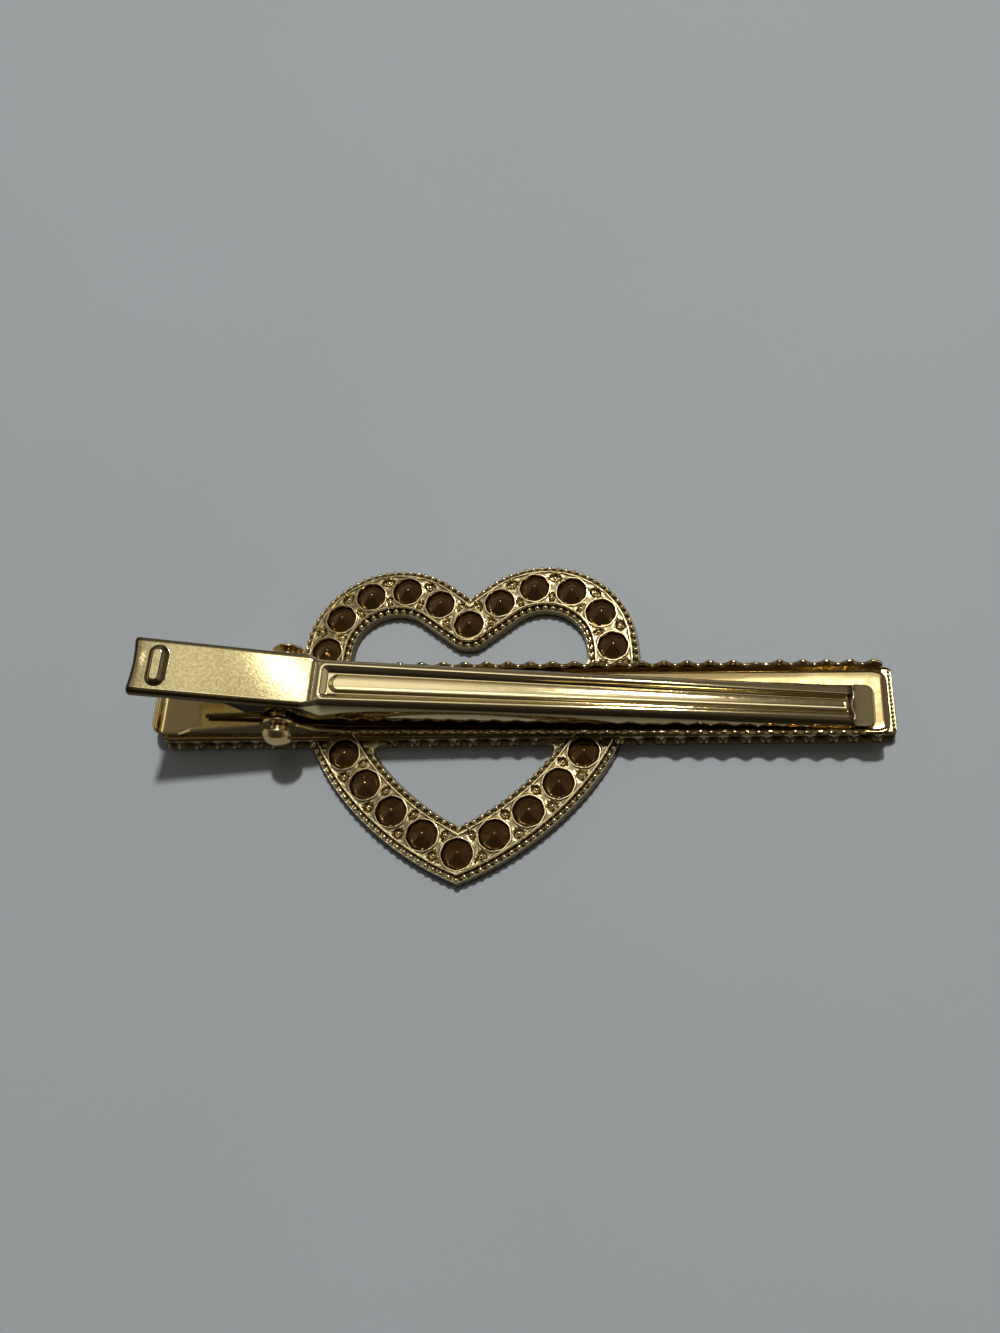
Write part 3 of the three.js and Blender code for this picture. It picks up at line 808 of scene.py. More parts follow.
    def web(self, u: Array, short: Array | float) -> Array:
        """Height of the web as a share of the crest: flat between rails, pierced by round windows.

        Args:
            u: Place across the limb.
            short: Distance short of the line between two cells, where the windows have their middles.

        Returns:
            The share, from 0 on a window's floor to 1 on the rails.
        """
        rail = plateau(self.rail_offset - np.abs(u), 0.4 * self.ridge, self.ridge)
        pit = plateau(self.from_window(u, short), self.window_flat, self.window_edge)
        return np.maximum(rail, self.web_rise * (1 - pit))

    def from_window(self, u: Array, short: Array | float) -> Array:
        """Distance from the middle of the nearest window."""
        return np.hypot(short, np.abs(u) - self.window_at)

    def cross_height(self, spread: Array) -> Array:
        """Height, as a share of the crest, along the line between two cells."""
        return self.web(self.rail_offset * spread, 0.0)

    def plain_grid(self, low: float, high: float, face: SeatFace) -> tuple[Array, Array]:
        """A stretch of limb with no stone: a sunk strip between the two rails.

        Args:
            low: Start along the middle line.
            high: End.
            face: The heights of this face.

        Returns:
            The grid of points and the shade painted at each.
        """
        outer = self.curve.rail(self.rail_offset, low, high, self.rail_points)
        inner = self.curve.rail(-self.rail_offset, low, high, self.rail_points)
        spread = np.linspace(1.0, -1.0, self.cross_points)
        weight = ((1 + spread) / 2)[:, None, None]
        flat = outer[None] * weight + inner[None] * (1 - weight)
        height = self.cross_height(spread)
        level = np.broadcast_to((face.floor + (face.crest - face.floor) * height)[:, None], flat.shape[:2])
        # Painted shade on the sunk strip below the rails' tops.
        painted_shade = np.broadcast_to(0.7 * (1 - smooth(0.76, 0.97, height))[:, None], flat.shape[:2])
        return np.concatenate([flat, level[..., None]], axis=-1), painted_shade

    def edge_strips(self, low: float, high: float) -> list[Array]:
        """Both beaded edges of a stretch: the edge profile carried along the rails.

        Args:
            low: Start along the middle line.
            high: End.

        Returns:
            A grid of points for the outer and one for the inner edge.
        """
        strips = []
        for sign in (1.0, -1.0):
            rows = [at_height(self.curve.rail(sign * u, low, high, self.rail_points), z)
                    for u, z in self.edge_profile()]
            strips.append(np.stack(rows))
        return strips

    def heart_shell(self) -> Shell:
        """Both halves of the heart's limb: stone cells, plain stretches that run into the bar, and edges."""
        shell = Shell()
        cells = self.cups()
        for cup, low, high in cells:
            back, back_painted_shade = self.face_grid(cup, self.back)
            fore, fore_painted_shade = self.face_grid(cup, self.front)
            wall = np.stack([back[0], fore[0]])
            for flip in self.sides(low, high):
                shell.add_grid(back * flip, 0, back_painted_shade, ring=True)
                shell.add_grid(fore * flip, 0, fore_painted_shade, ring=True)
                # The seat's wall between the faces gets strong painted shade.
                shell.add_grid(wall * flip, 0, 0.9, ring=True)
        pitch = self.curve.total() / self.curve.stone_steps
        breaks = [high for _, _, high in cells]
        gap = next(k for k in range(len(cells) - 1) if cells[k + 1][1] - breaks[k] > 0.5 * pitch)
        resume = cells[gap + 1][1]
        plain = [(breaks[gap], breaks[gap] + 0.45 * pitch), (resume - 0.1 * pitch, resume)]
        for low, high in plain:
            grids = [self.plain_grid(low, high, face) for face in (self.back, self.front)]
            for flip in BOTH_SIDES:
                for grid, painted_shade in grids:
                    shell.add_grid(grid * flip, 0, painted_shade)
        for low, high in [(low, high) for _, low, high in cells] + plain:
            for strip in self.edge_strips(low, high):
                for flip in BOTH_SIDES:
                    shell.add_grid(strip * flip, 0, np.repeat(self.edge_painted_shade(), self.rail_points))
        for outline, centre in self.gussets():
            levels = [(0.0, 0.04), (1.0, 0.04), (1.0, 0.92), (0.93, 1.04), (0.0, 1.04)]
            rows = np.stack([at_height(centre + (outline - centre) * k, z) for k, z in levels])
            for flip in BOTH_SIDES:
                shell.add_grid(rows * flip, 0, 0.1, ring=True)
        for (low, high), end in zip(plain, (-1, 0)):
            for cap in self.end_caps(low, high, end):
                for flip in BOTH_SIDES:
                    # The end sections get strong painted shade.
                    shell.add_grid(cap * flip, 0, 0.9)
        return shell

    def end_caps(self, low: float, high: float, end: int) -> list[Array]:
        """Closes a plain stretch where it runs into the bar.

        Args:
            low: Start along the middle line.
            high: End.
            end: 0 for the start, -1 for the end.

        Returns:
            The limb's section between its faces, and the two beaded edges' sections.
        """
        back, fore = (self.plain_grid(low, high, face)[0][:, end] for face in (self.back, self.front))
        part = np.linspace(0.0, 1.0, len(self.edge_profile()))[:, None, None]
        section = back[None] * (1 - part) + fore[None] * part
        outer, inner = (strip[:, end] for strip in self.edge_strips(low, high))
        return [section, np.stack([outer, section[:, 0]]), np.stack([inner, section[:, -1]])]

    def gussets(self) -> list[tuple[Array, Array]]:
        """Small fillets in the corners between the heart's inner edge and the bar.

        Each is bounded by the bar, the edge and a parabola tangent to both: the sum of one end, their corner
        and the other end, weighted by (1-t) squared, 2t(1-t) and t squared.

        Returns:
            For the far and the near side of the right half, the outline and a point that sees all of it.
        """
        line, _ = self.curve.offset_line(0.2 - self.half_limb)
        found = []
        for side in (1.0, -1.0):
            part = line[side * line[:, 1] > self.bar_half]
            part = part[::-1] if side > 0 else part
            gone = np.concatenate([[0.0], np.cumsum(np.linalg.norm(np.diff(part, axis=0), axis=1))])
            edge = resample(part[gone <= self.gusset_edge], 9)
            corner, into = edge[0], np.array([0.0, -0.6 * side])
            start = corner - np.array([self.gusset_bar, 0.0])
            t = np.linspace(0.0, 1.0, 13)[:, None]
            arc = (1 - t) ** 2 * start + 2 * t * (1 - t) * corner + t**2 * edge[-1]
            outline = np.concatenate([[start + into], arc, edge[-2::-1], [corner + into]])
            found.append((outline, 0.84 * corner + 0.08 * (start + edge[-1])))
        return found

    def grain_line(self, offset: float) -> list[Array]:
        """Even bead places along a line beside the limb, where the bar leaves it free.

        Args:
            offset: Distance outside the middle line; negative is inside.

        Returns:
            Plan points on the right half of the heart, and on the left half.
        """
        line, _ = self.curve.offset_line(offset)
        length = float(np.linalg.norm(np.diff(line, axis=0), axis=1).sum())
        places = resample(line, max(2, int(round(length / self.bead_pitch)) + 1))
        free = places[np.abs(places[:, 1]) > self.bar_half - 0.1]
        return [free, (free * MIRROR[:2])[free[:, 0] > 0.1]]

    def bead_shell(self) -> Shell:
        """Beads along the heart's edges, in the windows between its stones, and along the bar's ends."""
        shell = Shell()
        ball = bead_shape(6, 8)
        # Beads carry slight painted shade through their recess values.
        for offset in (self.grain_offset, -self.grain_offset):
            for places in self.grain_line(offset):
                shell.add_copies(ball, at_height(places, self.grain_level), self.grain_radius, 0, 0.1)
        for cup, low, high in self.cups():
            ahead = (cup.loop - cup.centre) @ cup.along > (-9.0 if low == 0.0 else 0.0)
            spot = (cup.share > 0.999) & (np.abs(np.abs(cup.across) - 1.22) < 0.13) & ahead
            spots = cup.loop[spot & (high < self.curve.total() - FAINT)]
            for flip in self.sides(low, high):
                for level in self.bead_levels:
                    shell.add_copies(ball, at_height(spots * flip[:2], level), self.bead_radius, 0, 0.15)
        ys = np.linspace(0.9 - self.bar_half, self.bar_half - 0.9, 15)
        ends = (self.bar_left + 0.34, self.bar_right - 0.34)
        places = np.concatenate([np.column_stack([np.full(len(ys), x), ys]) for x in ends])
        shell.add_copies(ball, at_height(places, 1.5), 0.55 * self.grain_radius, 0, 0.1)
        return shell

    def bar_columns(self) -> Array:
        """Places of the stones along the bar."""
        first = math.ceil((self.bar_left + 2.9) / self.bar_pitch - 0.5)
        last = math.floor((self.bar_right - 2.9) / self.bar_pitch - 0.5)
        return (np.arange(first, last + 1) + 0.5) * self.bar_pitch

    def bar_shell(self) -> Shell:
        """The bar: stone cells on its front, windowed sides and a flat back."""
        shell = Shell()
        taken = self.heart_places()
        for x in self.bar_columns():
            xs = np.linspace(x - 0.5 * self.bar_pitch, x + 0.5 * self.bar_pitch, self.rail_points)
            for row in (-self.bar_row, self.bar_row):
                centre = np.array([x, row])
                outer, inner = (at_height(xs, row + side) for side in (self.bar_row, -self.bar_row))
                cup = self.frame_cell(centre, np.array([1.0, 0.0]), outer, inner)
                grid, painted_shade = self.face_grid(cup, self.front)
                shell.add_grid(grid, 0, painted_shade, ring=True)
                free = np.linalg.norm(taken - centre, axis=1).min() > self.seat_clear
                floor = grid[0] * np.array([1.0, 1.0, 0.0]) + np.array([0.0, 0.0, 1.38 if free else 0.45])
                middle = np.broadcast_to(floor.mean(axis=0), floor.shape)
                # Seat floors under the stones get strong painted shade.
                shell.add_grid(np.stack([grid[0], floor]), 0, 0.9, ring=True)
                shell.add_grid(np.stack([floor, middle]), 0, 0.9, ring=True)
        self.add_bar_sides(shell)
        return shell

    def bar_ends(self) -> tuple[float, float]:
        """Where the stone cells of the bar start and end."""
        columns = self.bar_columns()
        return columns[0] - 0.5 * self.bar_pitch, columns[-1] + 0.5 * self.bar_pitch

    def bar_ring(self, inset: float) -> Array:
        """Points of the bar's outline: two sides in half steps of the cells, two ends with round corners.

        Args:
            inset: Distance inside the outline.

        Returns:
            The points, run anticlockwise from the start of the near side.
        """
        low, high = self.bar_ends()
        corner, half = self.bar_right - high, self.bar_half
        left = self.bar_left + corner
        steps = 2 * (self.rail_points - 1) * len(self.bar_columns()) + 1
        plain = np.linspace(left, low, self.block_steps + 1)[:-1]
        run = np.concatenate([plain, np.linspace(low, high, steps)])
        near = at_height(run, inset - half)
        turn = np.radians(np.linspace(0.0, 90.0, 7))
        reach = np.array([corner - 0.15 * inset, corner - inset])
        arc = reach * np.column_stack([np.sin(turn), -np.cos(turn)])
        lower = arc + np.array([high, corner - half])
        straight = np.linspace(lower[-1], lower[-1] * np.array([1.0, -1.0]), 25)
        upper = lower[::-1] * np.array([1.0, -1.0])
        right = np.concatenate([lower[1:], straight[1:], upper[1:-1]])
        flip = np.array([-1.0, -1.0])
        shift = np.array([left + high, 0.0])
        return np.concatenate([near, right, near[::-1] * np.array([1.0, -1.0]), right * flip + shift])

    def cell_ring(self) -> Array:
        """Edge of the block of cells, with a point for each of the outline's, repeated where it has fewer."""
        low, high = self.bar_ends()
        half = 2 * self.bar_row
        steps = (self.rail_points - 1) * len(self.bar_columns())
        nearest = np.round(np.arange(2 * steps + 1) / 2 + 0.01)
        run = np.concatenate([np.full(self.block_steps, low), low + (high - low) * nearest / steps])
        near = at_height(at_height(run, -half), self.front.crest)
        count = 2 * (self.cross_points - 1)
        climb = 2 * np.round(np.linspace(0.0, count, 37))[1:-1] / count - 1
        share = self.cross_height(2 * np.abs(climb) - 1)
        level = self.front.floor + (self.front.crest - self.front.floor) * share
        right = np.column_stack([np.full(len(climb), high), half * climb, level])
        left = np.column_stack([np.full(len(climb), low), -half * climb, level])
        return np.concatenate([near, right, near[::-1] * np.array([1.0, -1.0, 1.0]), left])

    def add_bar_sides(self, shell: Shell) -> None:
        """Adds the bar's side band, its flat back and its front rim.

        The band is a grid of place round and height. Windows press it in, in a row of wide and narrow
        third-power ovals, each ringed by a thin ridge.

        Args:
            shell: The bar's shell.
        """
        rows = [(0.16, 0.0), (0.06, 0.03), (0.0, 0.12)]
        rows += [(0.42 * t, 0.12 + 1.4 * t) for t in np.linspace(0.02, 0.98, 22)]
        rows += [(0.46, 1.57), (0.54, 1.6)]
        band, painted_shade = [], []
        for inset, z in rows:
            line = self.bar_ring(inset)
            press, ridge = self.window_relief(line, z)
            inward = self.bar_ring(inset + 0.3)
            line = line + (inward - line) * (1.3 * press - 0.2 * ridge)[:, None]
            band.append(at_height(line, z))
            # Painted shade on the side band, which lies in the clip's shadow: deeper in the windows, lighter
            # on their ridges.
            painted_shade.append(np.clip(0.74 + 0.18 * press - 0.25 * ridge, 0.0, 1.0))
        shell.add_grid(np.stack(band), 0, np.stack(painted_shade), ring=True)
        _, high = self.bar_ends()
        inner = self.bar_ring(0.85)
        spine = at_height(np.clip(inner[:, 0], self.bar_left + self.bar_right - high, high), 0.0)
        flat = [at_height(line, 1.42) for line in (self.bar_ring(0.66), inner, spine)]
        # Light painted shade on the flat back.
        shell.add_grid(np.stack([band[-1], *flat]), 0, 0.3, ring=True)
        shell.add_grid(np.stack([band[0], self.cell_ring()]), ring=True)

    def window_relief(self, line: Array, z: float) -> tuple[Array, Array]:
        """How far the windows press in, and how far their ridges stand out, at one height of the bar's side.

        Args:
            line: Points round the bar.
            z: The height.

        Returns:
            Press and ridge from 0 to 1.
        """
        press = np.zeros(len(line))
        ridge = np.zeros(len(line))
        flat = (np.abs(line[:, 1]) > self.bar_half - 0.6).astype(float)
        for shift, width in ((0.0, 1.02), (0.5 * self.bar_pitch, 0.8)):
            near = line[:, 0] - self.bar_columns()[0] - shift
            near = near - self.bar_pitch * np.round(near / self.bar_pitch)
            oval = (np.abs(near / width) ** 3 + abs((z - 0.82) / 0.58) ** 3) ** (1 / 3)
            press = np.maximum(press, 1 - smooth(0.84, 0.98, oval))
            ridge = np.maximum(ridge, bump((oval - 1.08) * width, 0.1))
        return press * flat, ridge * flat

    def heart_places(self) -> Array:
        """Where the heart's stones sit, in the front's own frame."""
        right = np.stack([cup.centre for cup, _, _ in self.cups()])
        return np.concatenate([right, (right * MIRROR[:2])[right[:, 0] > 0.1]])

    def bar_places(self) -> Array:
        """Where the bar's stones sit, leaving out those too near a stone of the heart."""
        places = np.array([[x, row] for row in (-self.bar_row, self.bar_row) for x in self.bar_columns()])
        near = np.linalg.norm(places[:, None] - self.heart_places()[None], axis=2).min(axis=1)
        return places[near > self.seat_clear]

    def stone_shell(self, places: Array, girdle: float, rise: float) -> Shell:
        """Stones: lacquered pointed backs over bright foil, and clear cut fronts, eight-sided as cut.

        Args:
            places: Where they sit.
            girdle: Height at which the pointed back starts.
            rise: How far the back's point stands above that.

        Returns:
            A shell with lacquer as material 0, foil 1 and glass 2.
        """
        turn = np.linspace(0.0, 2 * math.pi, 32, endpoint=False)
        fold = np.mod(turn, math.pi / 4) - math.pi / 8
        facet = (math.cos(math.pi / 8) / np.cos(fold)) ** 0.8
        ring = facet[:, None] * np.column_stack([np.cos(turn), np.sin(turn)])
        point = [(1.55, -0.1), (1.5, 0.0), (1.2, 0.236), (0.8, 0.548), (0.41, 0.852), (0.3, 0.925),
                 (0.2, 0.967), (0.1, 0.992), (0.0, 1.0)]
        back = [(1.47, 0.7), (1.55, 0.72)] + [(r, girdle + rise * z) for r, z in point]
        foil = [(1.47, 0.7), (1.43, 0.75), (0.8, 1.1), (0.2, 1.4), (0.0, 1.44)]
        glass = [(0.0, 0.12), (0.6, 0.12), (0.95, 0.12), (1.28, 0.3), (1.62, 0.56), (1.62, 0.66), (1.4, 0.72),
                 (0.7, 1.07), (0.0, 1.4)]
        shell = Shell()
        for number, profile in enumerate((back, foil, glass)):
            shape = np.stack([at_height(ring * r, z) for r, z in profile])
            shell.add_copies(shape, at_height(places, 0.0), 1.0, number)
        return shell

    def build(self, cast: PlatedGold, lacquer: FoilLacquer, foil: PlatedGold, glass: CutGlass) -> None:
        """Makes and dresses the casting, its beads and all stones.

        Args:
            cast: Finish of the casting.
            lacquer: Finish of the stones' backs.
            foil: Finish of the foil under it.
            glass: Finish of the stones' fronts.
        """
        gold = [cast.material()]
        heart = self.heart_shell().make("heart_casting", self.place, gold)
        dress(heart, Body.BASE, Slot.CASTING, "front_frame")
        dress(self.bar_shell().make("bar_casting", self.place, gold), Body.BASE, Slot.CASTING)
        dress(self.bead_shell().make("milgrain_beads", self.place, gold), Body.BASE, Slot.CASTING)
        layers = [lacquer.material(), foil.material(), glass.material()]
        for label, places, back in (("heart_stone", self.heart_places(), self.heart_back),
                                    ("bar_stone", self.bar_places(), self.bar_back)):
            stones = self.stone_shell(places, *back).make(f"{label}s", self.place, layers, 15.0)
            nodes = [name for name in sorted(frame["nodes"]) if name.startswith(label)]
            dress(stones, Body.BASE, Slot.CRYSTAL, *nodes)


@dataclass
class LowerArm:
    """The pressed lower arm: flat floor and tail tab, with two toothed walls that carry the rivet."""

    place: Placement
    tail: float = -15.0
    tip: float = 60.7
    half: float = 3.7
    flare: float = 0.3
    foot: float = 3.45
    lip: float = 0.36
    lip_at: float = 0.62
    corner: float = 1.6
    floor_low: float = 1.7
    floor_high: float = 2.2
    wall: float = 0.45
    wall_top: float = 3.45
    wall_end: float = 60.05
    ear: float = 1.7
    pitch: float = 2.275
    tooth: float = 0.5
    depth: float = 0.46
    first: float = 7.0
    bend: float = 0.55

    def wall_line(self, x: Array, shift: float, worn: int) -> Array:
        """Top of a wall: straight runs, the ear's arc, then teeth with round notches.

        Args:
            x: Places along the arm.
            shift: How many teeth the row is moved along.
            worn: Number of the tooth that is worn off.

        Returns:
            The wall's height at each place.
        """
        runs_x = [self.tail, -11.8, -10.2, -2.2, -self.ear, self.ear, self.ear + 1.7, self.tip]
        runs_z = [self.floor_high, self.floor_high, 3.2] + 3 * [PIVOT_Z] + 2 * [self.wall_top]
        line = np.interp(x, runs_x, runs_z)
        arc = PIVOT_Z + np.sqrt(np.maximum(self.ear**2 - x**2, 0.0))
        line = np.where(np.abs(x) < self.ear, arc, line)
        first = self.first + shift * self.pitch
        way = (x - first + self.tooth / 2) / self.pitch
        part = (way - np.floor(way)) * self.pitch - self.tooth
        drop = self.depth * np.sin(math.pi * np.clip(part / (self.pitch - self.tooth), 0.0, 1.0)) ** 0.8
        from_worn = x - first - worn * self.pitch
        drop = np.where(np.abs(from_worn) < self.pitch / 2, self.depth - 0.15 * bump(from_worn, 0.5), drop)
        count = math.floor((self.wall_end - self.tooth / 2 - self.first) / self.pitch)
        inside = (x > first) & (x < first + count * self.pitch)
        line = np.where(inside, line - drop, line)
        return np.where(x > self.wall_end, self.floor_high, line)

    def stations(self) -> Array:
        """Places along the arm, close together round its corners and at the walls' ends."""
        corner = self.corner * (1 - np.cos(np.linspace(0, 1.57, 14)))
        ends = [self.wall_end - 0.01, self.wall_end + 0.01, self.tail, self.tip]
        runs = [np.arange(self.tail, self.tip, 0.14), self.tail + corner, self.tip - corner, ends]
        return np.unique(np.round(np.concatenate(runs), 4))

    def half_section(self, half: Array, top: Array) -> tuple[Chain, Chain]:
        """One wall with its half of the floor, from the wall's top to the arm's middle.

        Args:
            half: Half the arm's width at each place along.
            top: Height of the wall there.

        Returns:
            Outer and inner skin, each as places across and heights.
        """
        tall = top - self.floor_high > 0.02
        lip = np.where(tall, 0.1, 0.12)
        inside = np.clip(0.6 * (top - self.floor_high), 0.0, 0.22) * tall
        bore = half - self.wall
        skin, lining = [], []
        for drop, pull in ((0.0, 0.16), (0.4, 0.06), (1.0, 0.0)):
            skin.append((half - pull, np.maximum(top - drop * lip, self.floor_low + 0.2)))
            lining.append((bore + pull * tall, np.where(tall, top - drop * lip, self.floor_high)))
        low, high = self.floor_low + self.bend, top - 0.12
        for share in (0.75, 0.5, 0.25):
            rise = np.where(tall, inside + (top - self.floor_high - inside) * share, 0.0)
            skin.append((half, np.where(high > low, low + (high - low) * share, high)))
            lining.append((bore, self.floor_high + rise))
        reach = np.minimum(self.bend, high - self.floor_low)
        for angle in np.radians(np.linspace(0.0, 90.0, 7)):
            draw, rise = 1 - math.cos(angle), 1 - math.sin(angle)
            skin.append((half - reach * draw, self.floor_low + reach * rise))
            lining.append((bore - inside * draw, self.floor_high + inside * rise))
        for share in (0.75, 0.5, 0.25, 0.0):
            skin.append(((half - self.bend) * share, np.full(len(top), self.floor_low)))
            lining.append(((bore - inside) * share, np.full(len(top), self.floor_high)))
        return skin, lining

    def skins(self) -> list[Array]:
        """Carries the section along the arm, from the far wall's top under the floor to the near wall's top.

        Returns:
            Outer and inner skin as grids of points, by place along and place round.
        """
        x = self.stations()
        jaw = smooth(1.5, 7.0, x)
        half = self.half + (self.foot - self.half) * jaw
        half = half - rounded_drop(np.minimum(x - self.tail, self.tip - x), self.corner)
        curl = self.lip * bump(x - self.tail - self.lip_at, 0.42) - 0.5 * rounded_drop(x - self.tail, 0.4)
        curl = curl - 0.9 * rounded_drop(self.tip - x, 0.8)
        found: tuple[list[Array], list[Array]] = ([], [])
        for side, shift, worn in ((1.0, 0.0, 18), (-1.0, -0.5, 14)):
            for grids, chain in zip(found, self.half_section(half, self.wall_line(x, shift, worn))):
                leaning = [(y + self.flare * jaw * (z - self.floor_low), z + curl) for y, z in chain]
                grid = np.stack([np.column_stack([x, side * y, z]) for y, z in leaning], axis=1)
                grids.append(grid if side > 0 else grid[:, -2::-1])
        return [np.concatenate(grids, axis=1) for grids in found]

    def shell(self) -> Shell:
        """Joins the two skins, with shade painted on the walls, on the bed and round the tip."""
        skins, painted_shade_map = self.skins(), []
        for skin in skins:
            x, rise = skin[..., 0], skin[..., 2] - self.floor_high
            # Painted shade: the walls' upper parts, the bed beside the jaw, and the rolled-down tip.
            wall = 0.6 * smooth(0.3, 0.9, rise) * smooth(3.0, 8.0, x)
            bed = 0.5 * smooth(8.0, 14.0, x) * plateau(x, 51.0, 54.0)
            painted_shade_map.append(np.maximum.reduce([wall, bed, 0.7 * smooth(self.tip - 0.75, self.tip - 0.35, x)]))
        return joined_skins(*skins, 0, painted_shade_map)

    def build(self, finish: PlatedGold) -> None:
        """Makes, drills and dresses the arm.

        Args:
            finish: Finish of the whole arm.
        """
        piece = self.shell().make("lower_arm_sheet", self.place, [finish.material()])
        drill(piece, self.place)
        dress(piece, Body.BASE, Slot.SHEET, "lower_arm")


def joined_skins(outer: Array, inner: Array, change: int, painted_shade_map: list[Array]) -> Shell:
    """A sheet's two skins, joined along both long edges and both ends.

    Args:
        outer: Outer skin as a grid of points.
        inner: Inner skin, point for point under the outer one.
        change: Row from which the outer skin takes the second material, or 0 for one material.
        painted_shade_map: How much shade is painted at the points of both skins.

    Returns:
        The closed shell.
    """
    shell = Shell()
    if change:
        shell.add_grid(outer[:change + 1], 0, painted_shade_map[0][:change + 1])
    shell.add_grid(outer[change:], int(change > 0), painted_shade_map[0][change:])
    shell.add_grid(inner, int(change > 0), painted_shade_map[1])
    for edge in (0, -1):
        shell.add_grid(np.stack([outer[:, edge], inner[:, edge]]))
        shell.add_grid(np.stack([outer[edge], inner[edge]]))
    return shell


@dataclass
class UpperArm:
    """The upper arm: satin thumb tab, creased above the rivet, and a ribbed jaw with turned-down flanges."""

    place: Placement
    pivot: Placement
    tab_end: float = -13.95
    crease: float = CREASE_X
    tip: float = 59.15
    tab_half: float = 3.1
    crease_half: float = 2.95
    tip_half: float = 2.25
    tab_top: float = PIVOT_Z + TAB_RISE
    crease_top: float = PIVOT_Z + CREASE_RISE
    tip_top: float = 3.0
    flange_low: float = 2.35
    sheet: float = 0.5
    lip: float = 0.9
    ear: float = 2.0
    panel_start: float = 4.5
    panel_end: float = 57.1
    recess: float = 0.5
    rib: float = 0.27
    dimple_x: float = -11.15

    def stations(self) -> Array:
        """Places along the arm, close together where the shape changes quickly."""
        runs = [np.arange(self.tab_end, -9.4, 0.1), np.arange(-9.4, -5.2, 0.3), np.arange(-5.2, 3.4, 0.16),
                np.arange(3.4, 6.6, 0.07), np.arange(6.6, 54.6, 0.45), np.arange(54.6, self.tip, 0.09),
                [self.tip]]
        ends = 1 - np.cos(np.linspace(0, 1.57, 12))
        runs += [self.tab_end + 0.4 * ends, self.tip - 1.0 * ends]
        return np.unique(np.round(np.concatenate(runs), 4))

    def top(self, x: Array) -> Array:
        """Height of the plate: two straight slopes that meet at the crease."""
        places = [self.tab_end, self.crease, self.tip]
        return np.interp(x, places, [self.tab_top, self.crease_top, self.tip_top])

    def half(self, x: Array) -> Array:
        """Half the arm's width, drawn in round its four corners."""
        places = [self.tab_end, self.crease, self.tip]
        width = np.interp(x, places, [self.tab_half, self.crease_half, self.tip_half])
        return width - rounded_drop(x - self.tab_end, 0.4) - rounded_drop(self.tip - x, 1.0)

    def flange(self, x: Array) -> Array:
        """Lower edge of the turned-down sides: tab lip, ear round the rivet, then the jaw's straight edge.

        Args:
            x: Places along the arm.

        Returns:
            The edge's height at each of them.
        """
        lip = self.top(x) - self.lip
        ear = PIVOT_Z - np.sqrt(np.maximum(self.ear**2 - x**2, 0.0))
        back = np.interp(x, [-4.5, -self.ear], [self.top(np.array([-4.5]))[0] - self.lip, PIVOT_Z - 0.35])
        front = np.interp(x, [1.0, 6.5], [PIVOT_Z - 1.73, self.flange_low])
        edge = np.where(x < -4.5, lip, np.where(x < -self.ear, back, np.where(x < 1.0, ear, front)))
        return np.minimum(edge, self.top(x) - 0.6)

    def from_dimple(self, x: Array, v: Array) -> Array:
        """Distance from the dimple's middle line, which lies across the tab."""
        return np.hypot(x - self.dimple_x, np.maximum(np.abs(v) - 1.25, 0.0))

    def relief(self, x: Array, v: Array, crest: Array) -> Array:
        """Pressed detail of the plate.

        The panel sinks by its distance inside a round-cornered outline, a broad rib stands in its middle, its
        rim stands a little proud, and an oval dimple is raised on the tab.

        Args:
            x: Places along.
            v: Places across.
            crest: Half the panel's width at each place.

        Returns:
            The height to add.
        """
        side, start, corner = crest - np.abs(v), x - self.panel_start, 0.75
        a, b = corner - side, corner - start
        inside = corner - (np.hypot(np.maximum(a, 0), np.maximum(b, 0)) + np.minimum(np.maximum(a, b), 0))
        run_out = smooth(0.0, 0.5, self.panel_end - x)
        sunk = smooth(0.0, 1.0, (inside - 0.16) / np.maximum(0.42 * crest - 0.16, 0.1)) * run_out
        height = -self.recess * sunk
        share = np.abs(v) / np.maximum(crest, 0.1)
        rise = self.rib + (self.recess - self.rib) * smooth(56.2, 57.0, x)
        body = (1 - smooth(0.4, 0.53, share)) * smooth(5.35, 5.9, x - 0.5 * (share / 0.45) ** 2) * sunk
        height = height + (rise - 0.05 * (share / 0.4) ** 2) * body
        jaw = smooth(self.crease, self.panel_start, x)
        height = height + 0.04 * bump(inside - 0.05, 0.3) * jaw * run_out
        height = height - 0.12 * bump(x - self.crease + 0.05, 0.16)
        return height + 0.42 * plateau(self.from_dimple(x, v), 0.36, 1.02)

    def shoulder(self, x: Array) -> Array:
        """Width of the round shoulder between plate and flange; almost none on the tip's plate."""
        width = np.interp(x, [self.tab_end, 3.2, 4.5], [0.62, 0.62, 1.0])
        return np.minimum(width + (0.14 - width) * smooth(56.6, 57.3, x), 0.8 * self.half(x))

